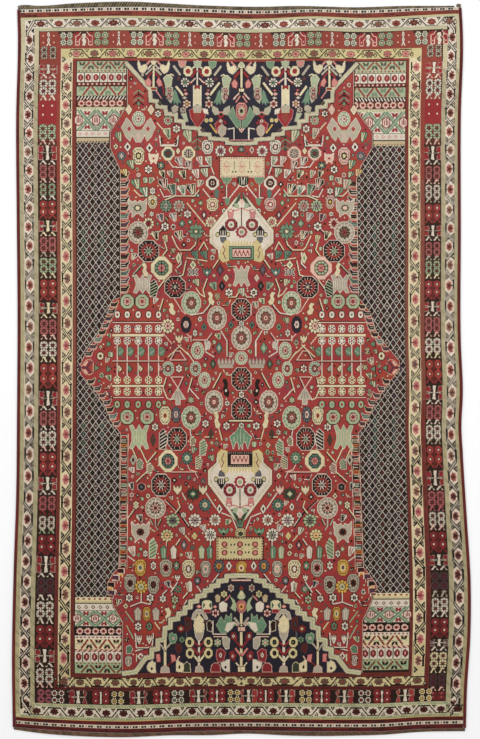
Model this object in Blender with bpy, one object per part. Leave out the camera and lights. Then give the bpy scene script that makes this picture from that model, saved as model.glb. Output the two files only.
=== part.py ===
"""Hand-knotted Shiraz rug lying flat on the floor.

The knotted pile and its flat-woven ends are one cloth. Two overcast
selvedges close its long sides, the warps are plaited together along both
ends, and a small tassel of spare warps stands at one corner.
X runs across the rug, Y along it, and Z up from the underside.
"""
import math

import bmesh
import bpy
import numpy as np

# Driving dimensions, in metres
PILE_HEIGHT = 0.0080
WEAVE_HEIGHT = 0.0035
PILE_SIDE_INSET = 0.0012
PILE_EDGE_ROUNDING = 0.0015
SELVEDGE_WIDTH = 0.0110
SELVEDGE_HEIGHT = 0.0075
PLAIT_WIDTH = 0.0160
PLAIT_HEIGHT = 0.0058
TASSEL_WIDTH = 0.0200
TASSEL_DEPTH = 0.0150
TASSEL_HEIGHT = 0.0076
GAP = 0.0004
STATION_PITCH = 0.040

# The loom's slack leaves each side wavy: (y along the side, x of its outer edge)
LEFT_SIDE = [
    (-1.290, -0.817),
    (-1.050, -0.820),
    (-0.720, -0.814),
    (-0.450, -0.805),
    (-0.150, -0.802),
    (0.200, -0.800),
    (0.550, -0.803),
    (0.900, -0.805),
    (1.210, -0.799),
    (1.300, -0.802),
]
RIGHT_SIDE = [
    (-1.290, 0.802),
    (-1.140, 0.806),
    (-0.950, 0.818),
    (-0.760, 0.819),
    (-0.540, 0.806),
    (-0.300, 0.791),
    (-0.200, 0.786),
    (-0.090, 0.791),
    (0.100, 0.784),
    (0.500, 0.784),
    (0.900, 0.784),
    (1.210, 0.791),
    (1.300, 0.786),
]

# Where the weaving stops at each end: (x across, y of the last weft)
TOP_WEFT = [
    (-0.820, 1.284),
    (-0.600, 1.290),
    (-0.400, 1.294),
    (-0.150, 1.288),
    (0.070, 1.281),
    (0.270, 1.286),
    (0.420, 1.283),
    (0.630, 1.290),
    (0.820, 1.294),
]
BOTTOM_WEFT = [
    (-0.820, -1.276),
    (-0.730, -1.284),
    (-0.600, -1.292),
    (-0.430, -1.298),
    (-0.150, -1.291),
    (0.030, -1.290),
    (0.350, -1.293),
    (0.500, -1.292),
    (0.630, -1.284),
    (0.820, -1.280),
]

# Depth of the flat-woven stripes between the pile and the last weft: (x, depth)
TOP_STRIPES = [(-0.820, 0.029), (0.000, 0.030), (0.250, 0.025), (0.450, 0.028), (0.820, 0.021)]
BOTTOM_STRIPES = [(-0.820, 0.040), (-0.450, 0.045), (0.450, 0.047), (0.820, 0.046)]

# Width of the plaited warps, which were knotted more tightly to the right: (x, width)
TOP_PLAIT = [
    (-0.820, 0.010),
    (-0.780, 0.017),
    (-0.740, 0.013),
    (-0.600, 0.018),
    (-0.400, 0.020),
    (-0.270, 0.016),
    (-0.150, 0.013),
    (0.000, 0.014),
    (0.150, 0.015),
    (0.280, 0.011),
    (0.550, 0.011),
    (0.700, 0.007),
    (0.820, 0.006),
]
BOTTOM_PLAIT = [
    (-0.820, 0.009),
    (-0.730, 0.014),
    (-0.450, 0.016),
    (-0.270, 0.013),
    (-0.130, 0.016),
    (0.020, 0.011),
    (0.150, 0.016),
    (0.500, 0.013),
    (0.660, 0.011),
    (0.820, 0.012),
]

# Loose warps of the corner tassel: (lean in degrees from the rug's length, length)
TASSEL_LOCKS = [(-62, 0.0068), (-36, 0.0078), (-12, 0.0086), (14, 0.0088), (38, 0.0078), (64, 0.0066)]

# Moves the finished rug so that its bounding box is centred on the origin
CENTRING = (0.00035, -0.00015)


def along(table, position):
    """Smooth value of a two-column table at a position."""
    points = np.array(table)
    slopes = np.gradient(points[:, 1], points[:, 0])
    row = int(np.clip(np.searchsorted(points[:, 0], position) - 1, 0, len(points) - 2))
    span = points[row + 1, 0] - points[row, 0]
    share = (position - points[row, 0]) / span
    start = (1 + 2 * share) * (1 - share) ** 2 * points[row, 1]
    leave = share * (1 - share) ** 2 * span * slopes[row]
    end = share ** 2 * (3 - 2 * share) * points[row + 1, 1]
    arrive = share ** 2 * (share - 1) * span * slopes[row + 1]
    return float(start + leave + end + arrive)


def stations(start, stop):
    """Both ends and every whole pitch between, so neighbouring edges share them."""
    low, high = min(start, stop), max(start, stop)
    first = math.ceil(low / STATION_PITCH + 0.25)
    last = math.floor(high / STATION_PITCH - 0.25)
    places = [low] + [number * STATION_PITCH for number in range(first, last + 1)] + [high]
    return places if start < stop else places[::-1]


def clear_scene():
    for thing in list(bpy.data.objects):
        bpy.data.objects.remove(thing, do_unlink=True)


def make_collection(name):
    group = bpy.data.collections.new(name)
    bpy.context.scene.collection.children.link(group)
    return group


def make_material(name, colour, roughness):
    material = bpy.data.materials.new(name)
    material.use_nodes = True
    shader = material.node_tree.nodes["Principled BSDF"]
    shader.inputs["Base Color"].default_value = (*colour, 1.0)
    shader.inputs["Roughness"].default_value = roughness
    shader.inputs["Metallic"].default_value = 0.0
    return material


def poly_curve(name, points, closed, dimensions, group):
    curve = bpy.data.curves.new(name, "CURVE")
    curve.dimensions = dimensions
    spline = curve.splines.new("POLY")
    spline.points.add(len(points) - 1)
    for point, place in zip(spline.points, points):
        point.co = (*place[:3], 1.0)
        if len(place) > 3:
            point.radius = place[3]
    spline.use_cyclic_u = closed
    piece = bpy.data.objects.new(name, curve)
    group.objects.link(piece)
    return piece


def as_mesh(piece, group):
    """Replace a curve object by a welded mesh object of the same name."""
    bpy.context.view_layer.update()
    depsgraph = bpy.context.evaluated_depsgraph_get()
    mesh = bpy.data.meshes.new_from_object(piece.evaluated_get(depsgraph))
    bm = bmesh.new()
    bm.from_mesh(mesh)
    bmesh.ops.remove_doubles(bm, verts=bm.verts, dist=0.00002)
    bmesh.ops.recalc_face_normals(bm, faces=bm.faces)
    bm.to_mesh(mesh)
    bm.free()
    name = piece.name
    matrix = piece.matrix_world.copy()
    bpy.data.objects.remove(piece, do_unlink=True)
    solid = bpy.data.objects.new(name, mesh)
    solid.matrix_world = matrix
    group.objects.link(solid)
    return solid


def apply_union(target, cutter):
    """Join a second closed mesh into the first and remove the second."""
    joint = target.modifiers.new("Union", "BOOLEAN")
    joint.operation = "UNION"
    joint.solver = "EXACT"
    joint.object = cutter
    bpy.context.view_layer.update()
    depsgraph = bpy.context.evaluated_depsgraph_get()
    mesh = bpy.data.meshes.new_from_object(target.evaluated_get(depsgraph))
    target.modifiers.clear()
    target.data = mesh
    bpy.data.objects.remove(cutter, do_unlink=True)


def give_material(piece, material):
    piece.data.materials.clear()
    piece.data.materials.append(material)


def corner(side, end, inset):
    """Point where an inset side meets an end of the cloth."""
    x = along(side, end(0.0)) + inset
    for _ in range(4):
        x = along(side, end(x)) + inset
    return x, end(x)


def cloth_outline(top, bottom, side_inset):
    """Closed outline between two wavy ends and the two wavy sides."""
    inset = SELVEDGE_WIDTH + GAP + side_inset
    low_left = corner(LEFT_SIDE, bottom, inset)
    low_right = corner(RIGHT_SIDE, bottom, -inset)
    top_left = corner(LEFT_SIDE, top, inset)
    top_right = corner(RIGHT_SIDE, top, -inset)
    loop = []
    for x in stations(low_left[0], low_right[0])[:-1]:
        loop.append((x, bottom(x), 0))
    for y in stations(low_right[1], top_right[1])[:-1]:
        loop.append((along(RIGHT_SIDE, y) - inset, y, 0))
    for x in stations(top_right[0], top_left[0])[:-1]:
        loop.append((x, top(x), 0))
    for y in stations(top_left[1], low_left[1])[:-1]:
        loop.append((along(LEFT_SIDE, y) + inset, y, 0))
    return loop


def flat_slab(name, outline, base, height, rounding, group):
    """Filled outline with a thickness, and rounded edges when asked."""
    slab = poly_curve(name, outline, True, "2D", group)
    slab.data.fill_mode = "BOTH"
    slab.data.extrude = height / 2 - rounding
    slab.data.bevel_depth = rounding
    slab.data.bevel_resolution = 1
    slab.data.offset = -rounding
    slab.location.z = base + height / 2
    return as_mesh(slab, group)


def build_woven_body(group):
    """Foundation cloth with the thicker pile standing on it."""
    foundation_outline = cloth_outline(
        lambda x: along(TOP_WEFT, x),
        lambda x: along(BOTTOM_WEFT, x),
        0.0,
    )
    pile_outline = cloth_outline(
        lambda x: along(TOP_WEFT, x) - along(TOP_STRIPES, x),
        lambda x: along(BOTTOM_WEFT, x) + along(BOTTOM_STRIPES, x),
        PILE_SIDE_INSET,
    )
    cloth = flat_slab("woven_body", foundation_outline, 0.0, WEAVE_HEIGHT, 0.0, group)
    pile = flat_slab("pile", pile_outline, 0.001, PILE_HEIGHT - 0.001, PILE_EDGE_ROUNDING, group)
    apply_union(cloth, pile)
    give_material(cloth, make_material("knotted_wool", (0.30, 0.085, 0.06), 0.92))
    return cloth


def edge_profile(name, width, height, group):
    """Flat-bottomed oval section, drawn as a guide for the edge cords."""
    places = []
    for step in range(9):
        angle = math.pi * step / 8
        reach = math.cos(angle)
        rise = math.sin(angle) ** 0.7 if 0 < step < 8 else 0.0
        places.append((reach * width / 2, height * (0.22 + 0.78 * rise), 0))
    places.append((-0.40 * width, 0, 0))
    places.append((0.40 * width, 0, 0))
    guide = poly_curve(name, places, True, "2D", group)
    guide.data.fill_mode = "NONE"
    guide.hide_render = True
    guide.display_type = "WIRE"
    return guide


def edge_cord(name, path, profile, colour, group):
    """Sweep a section along a path lying on the floor."""
    cord = poly_curve(name, path, False, "3D", group)
    cord.data.twist_mode = "Z_UP"
    cord.data.bevel_mode = "OBJECT"
    cord.data.bevel_object = profile
    cord.data.use_fill_caps = True
    cord = as_mesh(cord, group)
    give_material(cord, make_material(name + "_yarn", colour, 0.9))
    cord.data.shade_smooth()
    cord.data.set_sharp_from_angle(angle=math.radians(50))
    return cord


def build_selvedges(profile, group):
    """Overcast cords along both long sides."""
    half = SELVEDGE_WIDTH / 2
    for name, side, inward in (("selvedge_left", LEFT_SIDE, 1), ("selvedge_right", RIGHT_SIDE, -1)):
        low_y = corner(side, lambda x: along(BOTTOM_WEFT, x), inward * half)[1] + GAP
        top_y = corner(side, lambda x: along(TOP_WEFT, x), inward * half)[1] - GAP
        path = [(along(side, y) + inward * half, y, 0) for y in stations(low_y, top_y)]
        edge_cord(name, path, profile, (0.27, 0.035, 0.03), group)


def plait_path(weft, widths, outward, start, stop):
    """Centre line of a plait that lies against the last weft."""
    path = []
    for x in stations(start, stop):
        width = along(widths, x)
        rounding = 1.0
        if abs(x - start) < 1e-6 or abs(x - stop) < 1e-6:
            rounding = 0.72
        inner = along(weft, x) + outward * GAP
        path.append((x, inner + outward * width / 2, 0, rounding * width / PLAIT_WIDTH))
    return path


def build_plaits(profile, group):
    """Warp ends plaited along the top and bottom."""
    left_end = along(LEFT_SIDE, 1.29) + 0.001
    tassel_start = along(RIGHT_SIDE, 1.29) - TASSEL_WIDTH - 0.0035
    top_path = plait_path(TOP_WEFT, TOP_PLAIT, 1, left_end, tassel_start)
    edge_cord("plait_top", top_path, profile, (0.17, 0.125, 0.085), group)
    low_left = along(LEFT_SIDE, -1.29) + 0.001
    low_right = along(RIGHT_SIDE, -1.29) - 0.001
    bottom_path = plait_path(BOTTOM_WEFT, BOTTOM_PLAIT, -1, low_left, low_right)
    edge_cord("plait_bottom", bottom_path, profile, (0.12, 0.07, 0.05), group)


def build_tassel(group):
    """Knot of spare warps with a few short locks fanning out of it."""
    centre_x = along(RIGHT_SIDE, 1.29) - TASSEL_WIDTH / 2 - 0.001
    knot_depth = 0.0085
    centre_y = along(TOP_WEFT, centre_x) + GAP + knot_depth / 2 + 0.0003
    mid = TASSEL_HEIGHT / 2
    mesh = bpy.data.meshes.new("corner_tassel")
    bm = bmesh.new()
    bmesh.ops.create_uvsphere(bm, u_segments=16, v_segments=10, radius=1.0)
    bmesh.ops.scale(bm, verts=bm.verts, vec=(TASSEL_WIDTH * 0.46, knot_depth / 2, mid))
    bm.to_mesh(mesh)
    bm.free()
    knot = bpy.data.objects.new("corner_tassel", mesh)
    knot.location = (centre_x, centre_y, mid)
    group.objects.link(knot)
    for number, (lean, length) in enumerate(TASSEL_LOCKS):
        angle = math.radians(lean)
        sideways = math.sin(angle)
        outwards = math.cos(angle)
        root = (0.0045 * sideways, 0.0008, 0)
        tip = (root[0] + length * sideways, root[1] + length * outwards, 0)
        mid_point = ((root[0] + tip[0]) / 2, (root[1] + tip[1]) / 2 + 0.0005, 0)
        places = [(*root, 1.0), (*mid_point, 0.9), (*tip, 0.55)]
        lock = poly_curve("lock_%d" % number, places, False, "3D", group)
        lock.data.bevel_depth = 0.0021
        lock.data.bevel_resolution = 1
        lock.data.use_fill_caps = True
        lock.location = (centre_x, centre_y, mid)
        apply_union(knot, as_mesh(lock, group))
    give_material(knot, make_material("tassel_warps", (0.10, 0.075, 0.055), 0.9))
    knot.data.shade_smooth()
    knot.data.set_sharp_from_angle(angle=math.radians(50))
    return knot


def build_rug():
    clear_scene()
    rug = make_collection("shiraz_rug")
    guides = make_collection("guides")
    build_woven_body(rug)
    selvedge_profile = edge_profile("selvedge_section", SELVEDGE_WIDTH, SELVEDGE_HEIGHT, guides)
    build_selvedges(selvedge_profile, rug)
    plait_profile = edge_profile("plait_section", PLAIT_WIDTH, PLAIT_HEIGHT, guides)
    build_plaits(plait_profile, rug)
    build_tassel(rug)
    for piece in rug.objects:
        piece.location.x += CENTRING[0]
        piece.location.y += CENTRING[1]


build_rug()
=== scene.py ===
import math

import bmesh
import bpy
import numpy as np
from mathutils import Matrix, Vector


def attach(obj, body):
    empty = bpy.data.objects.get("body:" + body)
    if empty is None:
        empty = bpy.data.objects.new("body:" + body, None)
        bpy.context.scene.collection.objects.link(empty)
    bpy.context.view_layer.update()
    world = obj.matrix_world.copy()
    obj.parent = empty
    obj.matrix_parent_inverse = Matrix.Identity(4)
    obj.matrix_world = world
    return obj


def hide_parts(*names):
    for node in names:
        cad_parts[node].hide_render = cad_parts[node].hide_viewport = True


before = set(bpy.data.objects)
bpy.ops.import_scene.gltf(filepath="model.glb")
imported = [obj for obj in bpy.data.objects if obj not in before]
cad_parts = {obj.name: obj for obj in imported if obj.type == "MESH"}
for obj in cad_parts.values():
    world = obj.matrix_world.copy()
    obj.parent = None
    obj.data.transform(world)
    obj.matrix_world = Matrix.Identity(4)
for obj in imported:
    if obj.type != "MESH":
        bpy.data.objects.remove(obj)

bl_info = {
    "name": "Shiraz rug",
    "version": (1, 0, 0),
    "blender": (4, 5, 0),
    "location": "View3D > Sidebar > Shiraz Rug",
    "description": "Builds a hand-knotted rug with its selvedges, plaited ends and corner tassel",
    "category": "Add Mesh",
}


def rows_of(text):
    """Rows of words, with a semicolon between the rows."""
    return [row.split() for row in text.split(";")]


def pairs(numbers):
    values = [float(number) for number in numbers]
    return list(zip(values[::2], values[1::2]))


def places(shape):
    """Corners of a shape, which may be written as text: x y x y and so on."""
    return pairs(shape.split()) if isinstance(shape, str) else shape


# Display colours of the dyed wools: a lighter set for the top of the rug and a darker set for its bottom
WOOLS = [
    (name, [int(part) for part in shades[:3]], [int(part) for part in shades[3:]])
    for name, *shades in rows_of("""
    brown 62 40 31 36 20 13;
    black 42 33 30 26 17 12;
    navy 50 46 56 30 25 33;
    red 156 67 61 136 47 40;
    crimson 146 50 52 112 32 34;
    rust 142 68 57 98 42 33;
    maroon 104 50 42 70 25 21;
    plum 98 66 70 70 40 46;
    pink 198 134 124 184 110 100;
    rose 214 178 160 200 156 138;
    ivory 216 204 186 194 179 158;
    cream 214 200 164 196 178 138;
    tan 190 170 136 166 144 108;
    grey 176 164 144 154 142 122;
    yellow 200 186 136 184 168 122;
    gold 202 166 92 186 140 58;
    light_green 168 174 142 142 152 114;
    green 116 140 112 88 116 88;
    teal 94 116 104 64 92 80;
    dark_green 80 82 64 44 48 34;
    slate 104 104 106 76 76 80;
    guard 192 180 148 182 170 130;
    guard_line 142 130 100 96 86 58;
    earth 128 98 80 100 70 52;
    madder 152 60 66 130 42 46;
    brick 160 70 54 140 52 37;
    thread 196 186 174 166 156 142;
    violet 84 56 68 64 38 50;
    blush 180 108 102 152 76 78
""")
]
WOOL = {row[0]: number for number, row in enumerate(WOOLS)}

KNOTS = 2          # knots to one drawing unit
WIDTH, HEIGHT = 480, 739     # drawing units
AXIS = 241.4       # centre line of the drawing


class Chart:
    """Knot chart of the rug: every cell is one knot's wool."""

    def __init__(self):
        self.cells = np.zeros((HEIGHT * KNOTS, WIDTH * KNOTS), dtype=np.uint8)
        self.fixed()

    def fixed(self):
        self.spot = (0.0, 0.0)
        self.arms = ((1.0, 0.0), (0.0, 1.0))
        return self

    def at(self, x, y, turn=0.0, size=1.0, flip=False, stretch=1.0):
        """Draw the next shapes around a spot, turned and mirrored."""
        angle = math.radians(turn)
        side = -1.0 if flip else 1.0
        self.spot = (x, y)
        self.arms = (
            (side * size * math.cos(angle), -size * stretch * math.sin(angle) * side),
            (size * math.sin(angle), size * stretch * math.cos(angle)),
        )
        return self

    def poly(self, points, wool):
        shape = np.array(places(points), dtype=float)
        (xx, xy), (yx, yy) = self.arms
        px = (self.spot[0] + xx * shape[:, 0] + xy * shape[:, 1]) * KNOTS
        py = (self.spot[1] + yx * shape[:, 0] + yy * shape[:, 1]) * KNOTS
        x0 = max(int(math.floor(px.min())), 0)
        x1 = min(int(math.ceil(px.max())) + 1, WIDTH * KNOTS)
        y0 = max(int(math.floor(py.min())), 0)
        y1 = min(int(math.ceil(py.max())) + 1, HEIGHT * KNOTS)
        if x1 <= x0 or y1 <= y0:
            return self
        gx = np.arange(x0, x1) + 0.5
        gy = np.arange(y0, y1)[:, None] + 0.5
        inside = np.zeros((y1 - y0, x1 - x0), dtype=bool)
        count = len(px)
        for one in range(count):
            two = (one + 1) % count
            ya, yb = py[one], py[two]
            if ya == yb:
                continue
            between = (gy >= ya) != (gy >= yb)
            cross = px[one] + (gy - ya) * (px[two] - px[one]) / (yb - ya)
            inside ^= between & (gx < cross)
        self.cells[y0:y1, x0:x1][inside] = WOOL[wool]
        return self

    def box(self, x0, y0, x1, y1, wool):
        return self.poly([(x0, y0), (x1, y0), (x1, y1), (x0, y1)], wool)

    def disc(self, x, y, rx, ry, wool, sides=14):
        points = []
        for step in range(sides):
            angle = 2 * math.pi * (step + 0.5) / sides
            points.append((x + rx * math.cos(angle), y + ry * math.sin(angle)))
        return self.poly(points, wool)

    def line(self, points, wool, width=0.6):
        points = places(points)
        for (xa, ya), (xb, yb) in zip(points[:-1], points[1:]):
            reach = math.hypot(xb - xa, yb - ya) or 1.0
            nx = -(yb - ya) / reach * width / 2
            ny = (xb - xa) / reach * width / 2
            ex = (xb - xa) / reach * width * 0.3
            ey = (yb - ya) / reach * width * 0.3
            self.poly(
                [
                    (xa - ex + nx, ya - ey + ny), (xb + ex + nx, yb + ey + ny),
                    (xb + ex - nx, yb + ey - ny), (xa - ex - nx, ya - ey - ny),
                ],
                wool,
            )
        return self

    def outline(self, shape, wool, width=0.6):
        shape = places(shape)
        return self.line(shape + shape[:1], wool, width)


def octagon(rx, ry=None, cut=0.42):
    ry = ry or rx
    return [
        (-rx * cut, -ry), (rx * cut, -ry), (rx, -ry * cut), (rx, ry * cut), (rx * cut, ry),
        (-rx * cut, ry), (-rx, ry * cut), (-rx, -ry * cut),
    ]


def diamond(x, y, rx, ry):
    return [(x, y - ry), (x + rx, y), (x, y + ry), (x - rx, y)]


def around(count, radius, start=0.0):
    spots = []
    for step in range(count):
        angle = start + 2 * math.pi * step / count
        spots.append((radius * math.cos(angle), radius * math.sin(angle)))
    return spots


def both_sides(x):
    """A place and its mirror image across the rug's centre line."""
    return ((x, False), (2 * AXIS - x, True))


# Flowers, drawn around the chart's current spot

def scaled(shape, across, down=None):
    down = across if down is None else down
    return [(x * across, y * down) for x, y in places(shape)]


def moved(shape, across, down):
    return [(x + across, y + down) for x, y in places(shape)]


def pointed(rx, ry, shoulder=0.5):
    return [
        (0, -ry), (rx, -ry * shoulder), (rx, ry * shoulder), (0, ry), (-rx, ry * shoulder),
        (-rx, -ry * shoulder),
    ]


def oval(rx, ry, sides=12):
    return scaled(around(sides, 1.0, math.pi / sides), rx, ry)


def jagged(rx, ry, count, depth=0.78):
    """Closed zigzag with count points."""
    shape = []
    for step in range(count * 2):
        angle = math.pi * (step + 0.5) / count
        reach = 1.0 if step % 2 == 0 else depth
        shape.append((rx * reach * math.cos(angle), ry * reach * math.sin(angle)))
    return shape


def dashes(chart, rx, ry, inner, outer, count, wool, width=0.8):
    for x, y in around(count, 1.0, math.pi / count):
        chart.line([(x * rx * inner, y * ry * inner), (x * rx * outer, y * ry * outer)], wool, width)


def inked(chart, shape, wool, ink="black", width=1.1):
    """Filled shape with a contour one knot wide."""
    chart.outline(shape, ink, width)
    chart.poly(shape, wool)


def rosette(chart, radius, petals, heart, edge=None, count=8, eye=None):
    chart.poly(octagon(radius * 1.1, radius * 1.1), edge or "brown")
    chart.poly(octagon(radius * 0.98, radius * 0.98, 0.5), petals)
    for x, y in around(count, 1.0, math.pi / count):
        chart.line(
            [(x * radius * 0.5, y * radius * 0.5), (x * radius * 1.04, y * radius * 1.04)], "brown", 0.7,
        )
    chart.disc(0, 0, radius * 0.5, radius * 0.5, heart, 8)
    if eye:
        chart.disc(0, 0, radius * 0.24, radius * 0.24, eye, 6)


def dash_ring(chart, rx, ry, rim, core, heart):
    inked(chart, octagon(rx * 0.97, ry * 0.97, 0.46), "black", "ivory", 1.2)
    dashes(chart, rx, ry, 0.66, 0.90, 18, rim, 0.45)
    chart.poly(oval(rx * 0.68, ry * 0.68), "red")
    chart.outline(oval(rx * 0.60, ry * 0.60), "maroon", 0.5)
    chart.poly(oval(rx * 0.48, ry * 0.48, 10), "black")
    dashes(chart, rx, ry, 0.16, 0.45, 8, rim, 0.9)
    dashes(chart, rx, ry, 0.10, 0.32, 8, core, 0.7)
    chart.disc(0, 0, rx * 0.14, ry * 0.14, heart, 6)


def broad_ring(chart, rx, ry, wool, core, heart):
    inked(chart, octagon(rx, ry, 0.32), wool, "earth", 0.7)
    chart.poly(octagon(rx * 0.66, ry * 0.66), "black")
    chart.poly(octagon(rx * 0.59, ry * 0.59), core)
    dashes(chart, rx, ry, 0.38, 0.60, 10, "black", 0.8)
    chart.poly(octagon(rx * 0.38, ry * 0.38), "black")
    chart.poly(octagon(rx * 0.32, ry * 0.32), heart)
    dashes(chart, rx, ry, 0.05, 0.27, 6, "maroon", 0.7)


def pointed_ring(chart, rx, ry, wool, core, heart):
    outline = oval(rx, ry)
    inked(chart, outline, wool, "ivory", 1.0)
    chart.outline(scaled(outline, 0.88), "earth" if wool == "grey" else "green", 0.6)
    dashes(chart, rx, ry, 0.62, 0.84, 14, "ivory", 0.8)
    chart.poly(jagged(rx * 0.62, ry * 0.62, 9), "black")
    chart.poly(jagged(rx * 0.50, ry * 0.50, 9, 0.85), "earth")
    dashes(chart, rx, ry, 0.14, 0.46, 9, heart, 0.8)
    chart.disc(0, 0, rx * 0.20, ry * 0.20, core, 6)
    chart.disc(0, 0, rx * 0.09, ry * 0.09, "black", 4)


def petal_ring(chart, rx, ry, wool, core, heart):
    chart.poly(oval(rx * 1.02, ry * 1.02), "black")
    count = 10 if rx > 4.5 else 8
    for x, y in around(count, 1.0, math.pi / count):
        chart.disc(x * rx * 0.76, y * ry * 0.76, rx * 0.225, ry * 0.225, wool, 7)
    dashes(chart, rx, ry, 0.34, 0.72, count, wool, 0.8)
    chart.disc(0, 0, rx * 0.46, ry * 0.46, core, 8)
    dashes(chart, rx, ry, 0.18, 0.44, 6, heart, 0.6)
    chart.disc(0, 0, rx * 0.15, ry * 0.15, "black", 5)


def beads(chart, radius, ry, wool, heart):
    chart.disc(0, 0, radius * 1.08, radius * 1.08, "black", 8)
    for x, y in around(6, radius * 0.66, math.pi / 6):
        chart.disc(x, y, radius * 0.3, radius * 0.3, wool, 5)
    chart.disc(0, 0, radius * 0.3, radius * 0.3, heart, 5)


def bud(chart, rx, ry, wool, heart, core):
    """Long palmette with a striped body and a dark heart."""
    shape = scaled("-0.5 -1 0.5 -1 1 -0.6 0.92 0.5 0.4 1 -0.4 1 -0.92 0.5 -1 -0.6", rx, ry)
    inked(chart, shape, wool, "brown", 1.0)
    chart.outline(scaled(shape, 0.80), "brown", 0.5)
    dashes(chart, rx, ry, 0.60, 0.78, 12, "brown", 0.5)
    chart.poly(jagged(rx * 0.58, ry * 0.52, 7), heart)
    chart.poly(octagon(rx * 0.26, ry * 0.26), core)


def winged_bud(chart, rx, ry, wool, heart, core):
    """Blocky palmette with horns above and feet below."""
    shape = scaled(
        "-1 -1 -0.62 -0.62 -0.25 -0.8 0 -0.5 0.25 -0.8 0.62 -0.62 1 -1 0.92 0.2 0.56 0.6 0.6 1 0.18 "
        "0.62 -0.18 0.62 -0.6 1 -0.56 0.6 -0.92 0.2",
        rx, ry,
    )
    inked(chart, shape, wool, "ivory", 1.2)
    chart.poly(jagged(rx * 0.5, ry * 0.42, 8), heart)
    chart.poly(octagon(rx * 0.24, ry * 0.2), core)


def fan(chart, width, height, wool, stripe):
    """Half palmette that opens upwards from the spot, one side upright, in stripes."""
    shape = scaled("0.22 0.04 -0.56 -0.62 -0.48 -0.94 0.5 -1 0.5 -0.04", width, height)
    dark = wool in ("black", "dark_green", "slate", "plum")
    inked(chart, shape, wool, "ivory" if dark else "black", 0.9)
    for share, line, thick in (
        (-0.30, "ivory" if dark else "black", 0.6), (-0.06, stripe, width * 0.14), (0.12, "black", 0.6),
        (0.30, stripe, width * 0.14),
    ):
        chart.line(
            [(width * (0.24 + share * 0.3), -height * 0.12), (width * share, -height * 0.90)], line,
            thick,
        )


def feather(chart, width, height, stripe, wool):
    """Half leaf with slanting bars."""
    shape = scaled("-0.5 0.5 -0.5 -0.3 0 -0.5 0.5 -0.1 0.2 0.5", width, height)
    inked(chart, shape, wool, "ivory", 1.0)
    for step in range(5):
        y = height * (-0.3 + 0.17 * step)
        chart.line([(-width * 0.42, y + height * 0.1), (width * 0.34, y - height * 0.1)], stripe, 0.9)


def tulip(chart, rx, ry, wool, heart):
    width, height = rx * 1.2, ry * 1.4
    half = width / 2
    inked(
        chart,
        [
            (0, height / 2), (-half, 0), (-half, -height / 2), (-half * 0.35, -height * 0.12),
            (0, -height / 2), (half * 0.35, -height * 0.12), (half, -height / 2), (half, 0),
        ],
        wool, "black", 0.9,
    )
    chart.disc(0, height * 0.08, width * 0.16, width * 0.16, heart, 6)


def branch(chart, points, wool, width=0.8):
    """Stem drawn as a pale line beside a dark one."""
    chart.line(moved(points, 0.9, 0.7), "black", width + 0.4)
    chart.line(points, wool, width + 0.3)


# Borders

def hatch_band(chart, x0, y0, x1, y1, ground, line, lean, pitch=2.4, share=0.42):
    """Barber-pole guard stripe."""
    k = KNOTS
    rows = np.arange(int(y0 * k), int(y1 * k))[:, None]
    cols = np.arange(int(x0 * k), int(x1 * k))[None, :]
    phase = ((cols + lean * rows) / (pitch * k)) % 1.0
    block = np.where(phase < share, WOOL[line], WOOL[ground])
    chart.cells[int(y0 * k):int(y1 * k), int(x0 * k):int(x1 * k)] = block


def palmette(chart, along, middle, long, wide, petal, heart, rim):
    """Small flower in a bend of a vine."""
    shape = moved(jagged(long, wide, 7, 0.76), along, middle)
    inked(chart, shape, petal, rim, 0.9)
    for x, y in around(5, 1.0, 0.3):
        chart.disc(along + x * long * 0.62, middle + y * wide * 0.62, 0.5, 0.5, rim, 4)
    chart.disc(along, middle, long * 0.34, wide * 0.34, heart, 5)


def side_vine(chart, spots, half, flowers, ground):
    """Meandering stem of a long side, with a flower facing every bend."""
    sign = 1
    for number, along in enumerate(spots):
        last = number + 1 == len(spots)
        gap = along - spots[number - 1] if last else spots[number + 1] - along
        flat, edge = gap * 0.24, half * 0.88
        low = along > 430
        facing = -sign * half
        chart.line(
            [(along - flat, sign * edge), (along + flat, sign * edge)], "black", 2.0 if low else 1.5,
        )
        petal, heart = flowers[number % len(flowers)]
        palmette(chart, along, facing * 0.14, gap * 0.25, half * 0.70, petal, heart, "rose")
        chart.line([(along, sign * edge), (along, sign * half * 0.2)], "black", 0.8)
        inner = 0.12 if low else 0.09
        tip = facing * (0.60 if low else 0.48)
        for way in (-1, 1):
            start, reach = along + way * gap * 0.24, way * gap
            base = [(start, facing), (start + reach * 0.36, facing)]
            chart.poly(base + [(start + reach * 0.18, facing * 0.16)], "black")
            base = [
                (start + reach * inner, facing * 0.88), (start + reach * (0.36 - inner), facing * 0.88),
            ]
            chart.poly(base + [(start + reach * 0.18, tip)], "grey")
        if not last:
            bend = [(along + flat, sign * edge), (spots[number + 1] - flat, -sign * edge)]
            for width, wool in (
                (3.8, ground), (3.2 if low else 2.8, "black"), (0.8 if low else 1.0, ground),
            ):
                chart.line(bend, wool, width)
        sign = -sign


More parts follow.
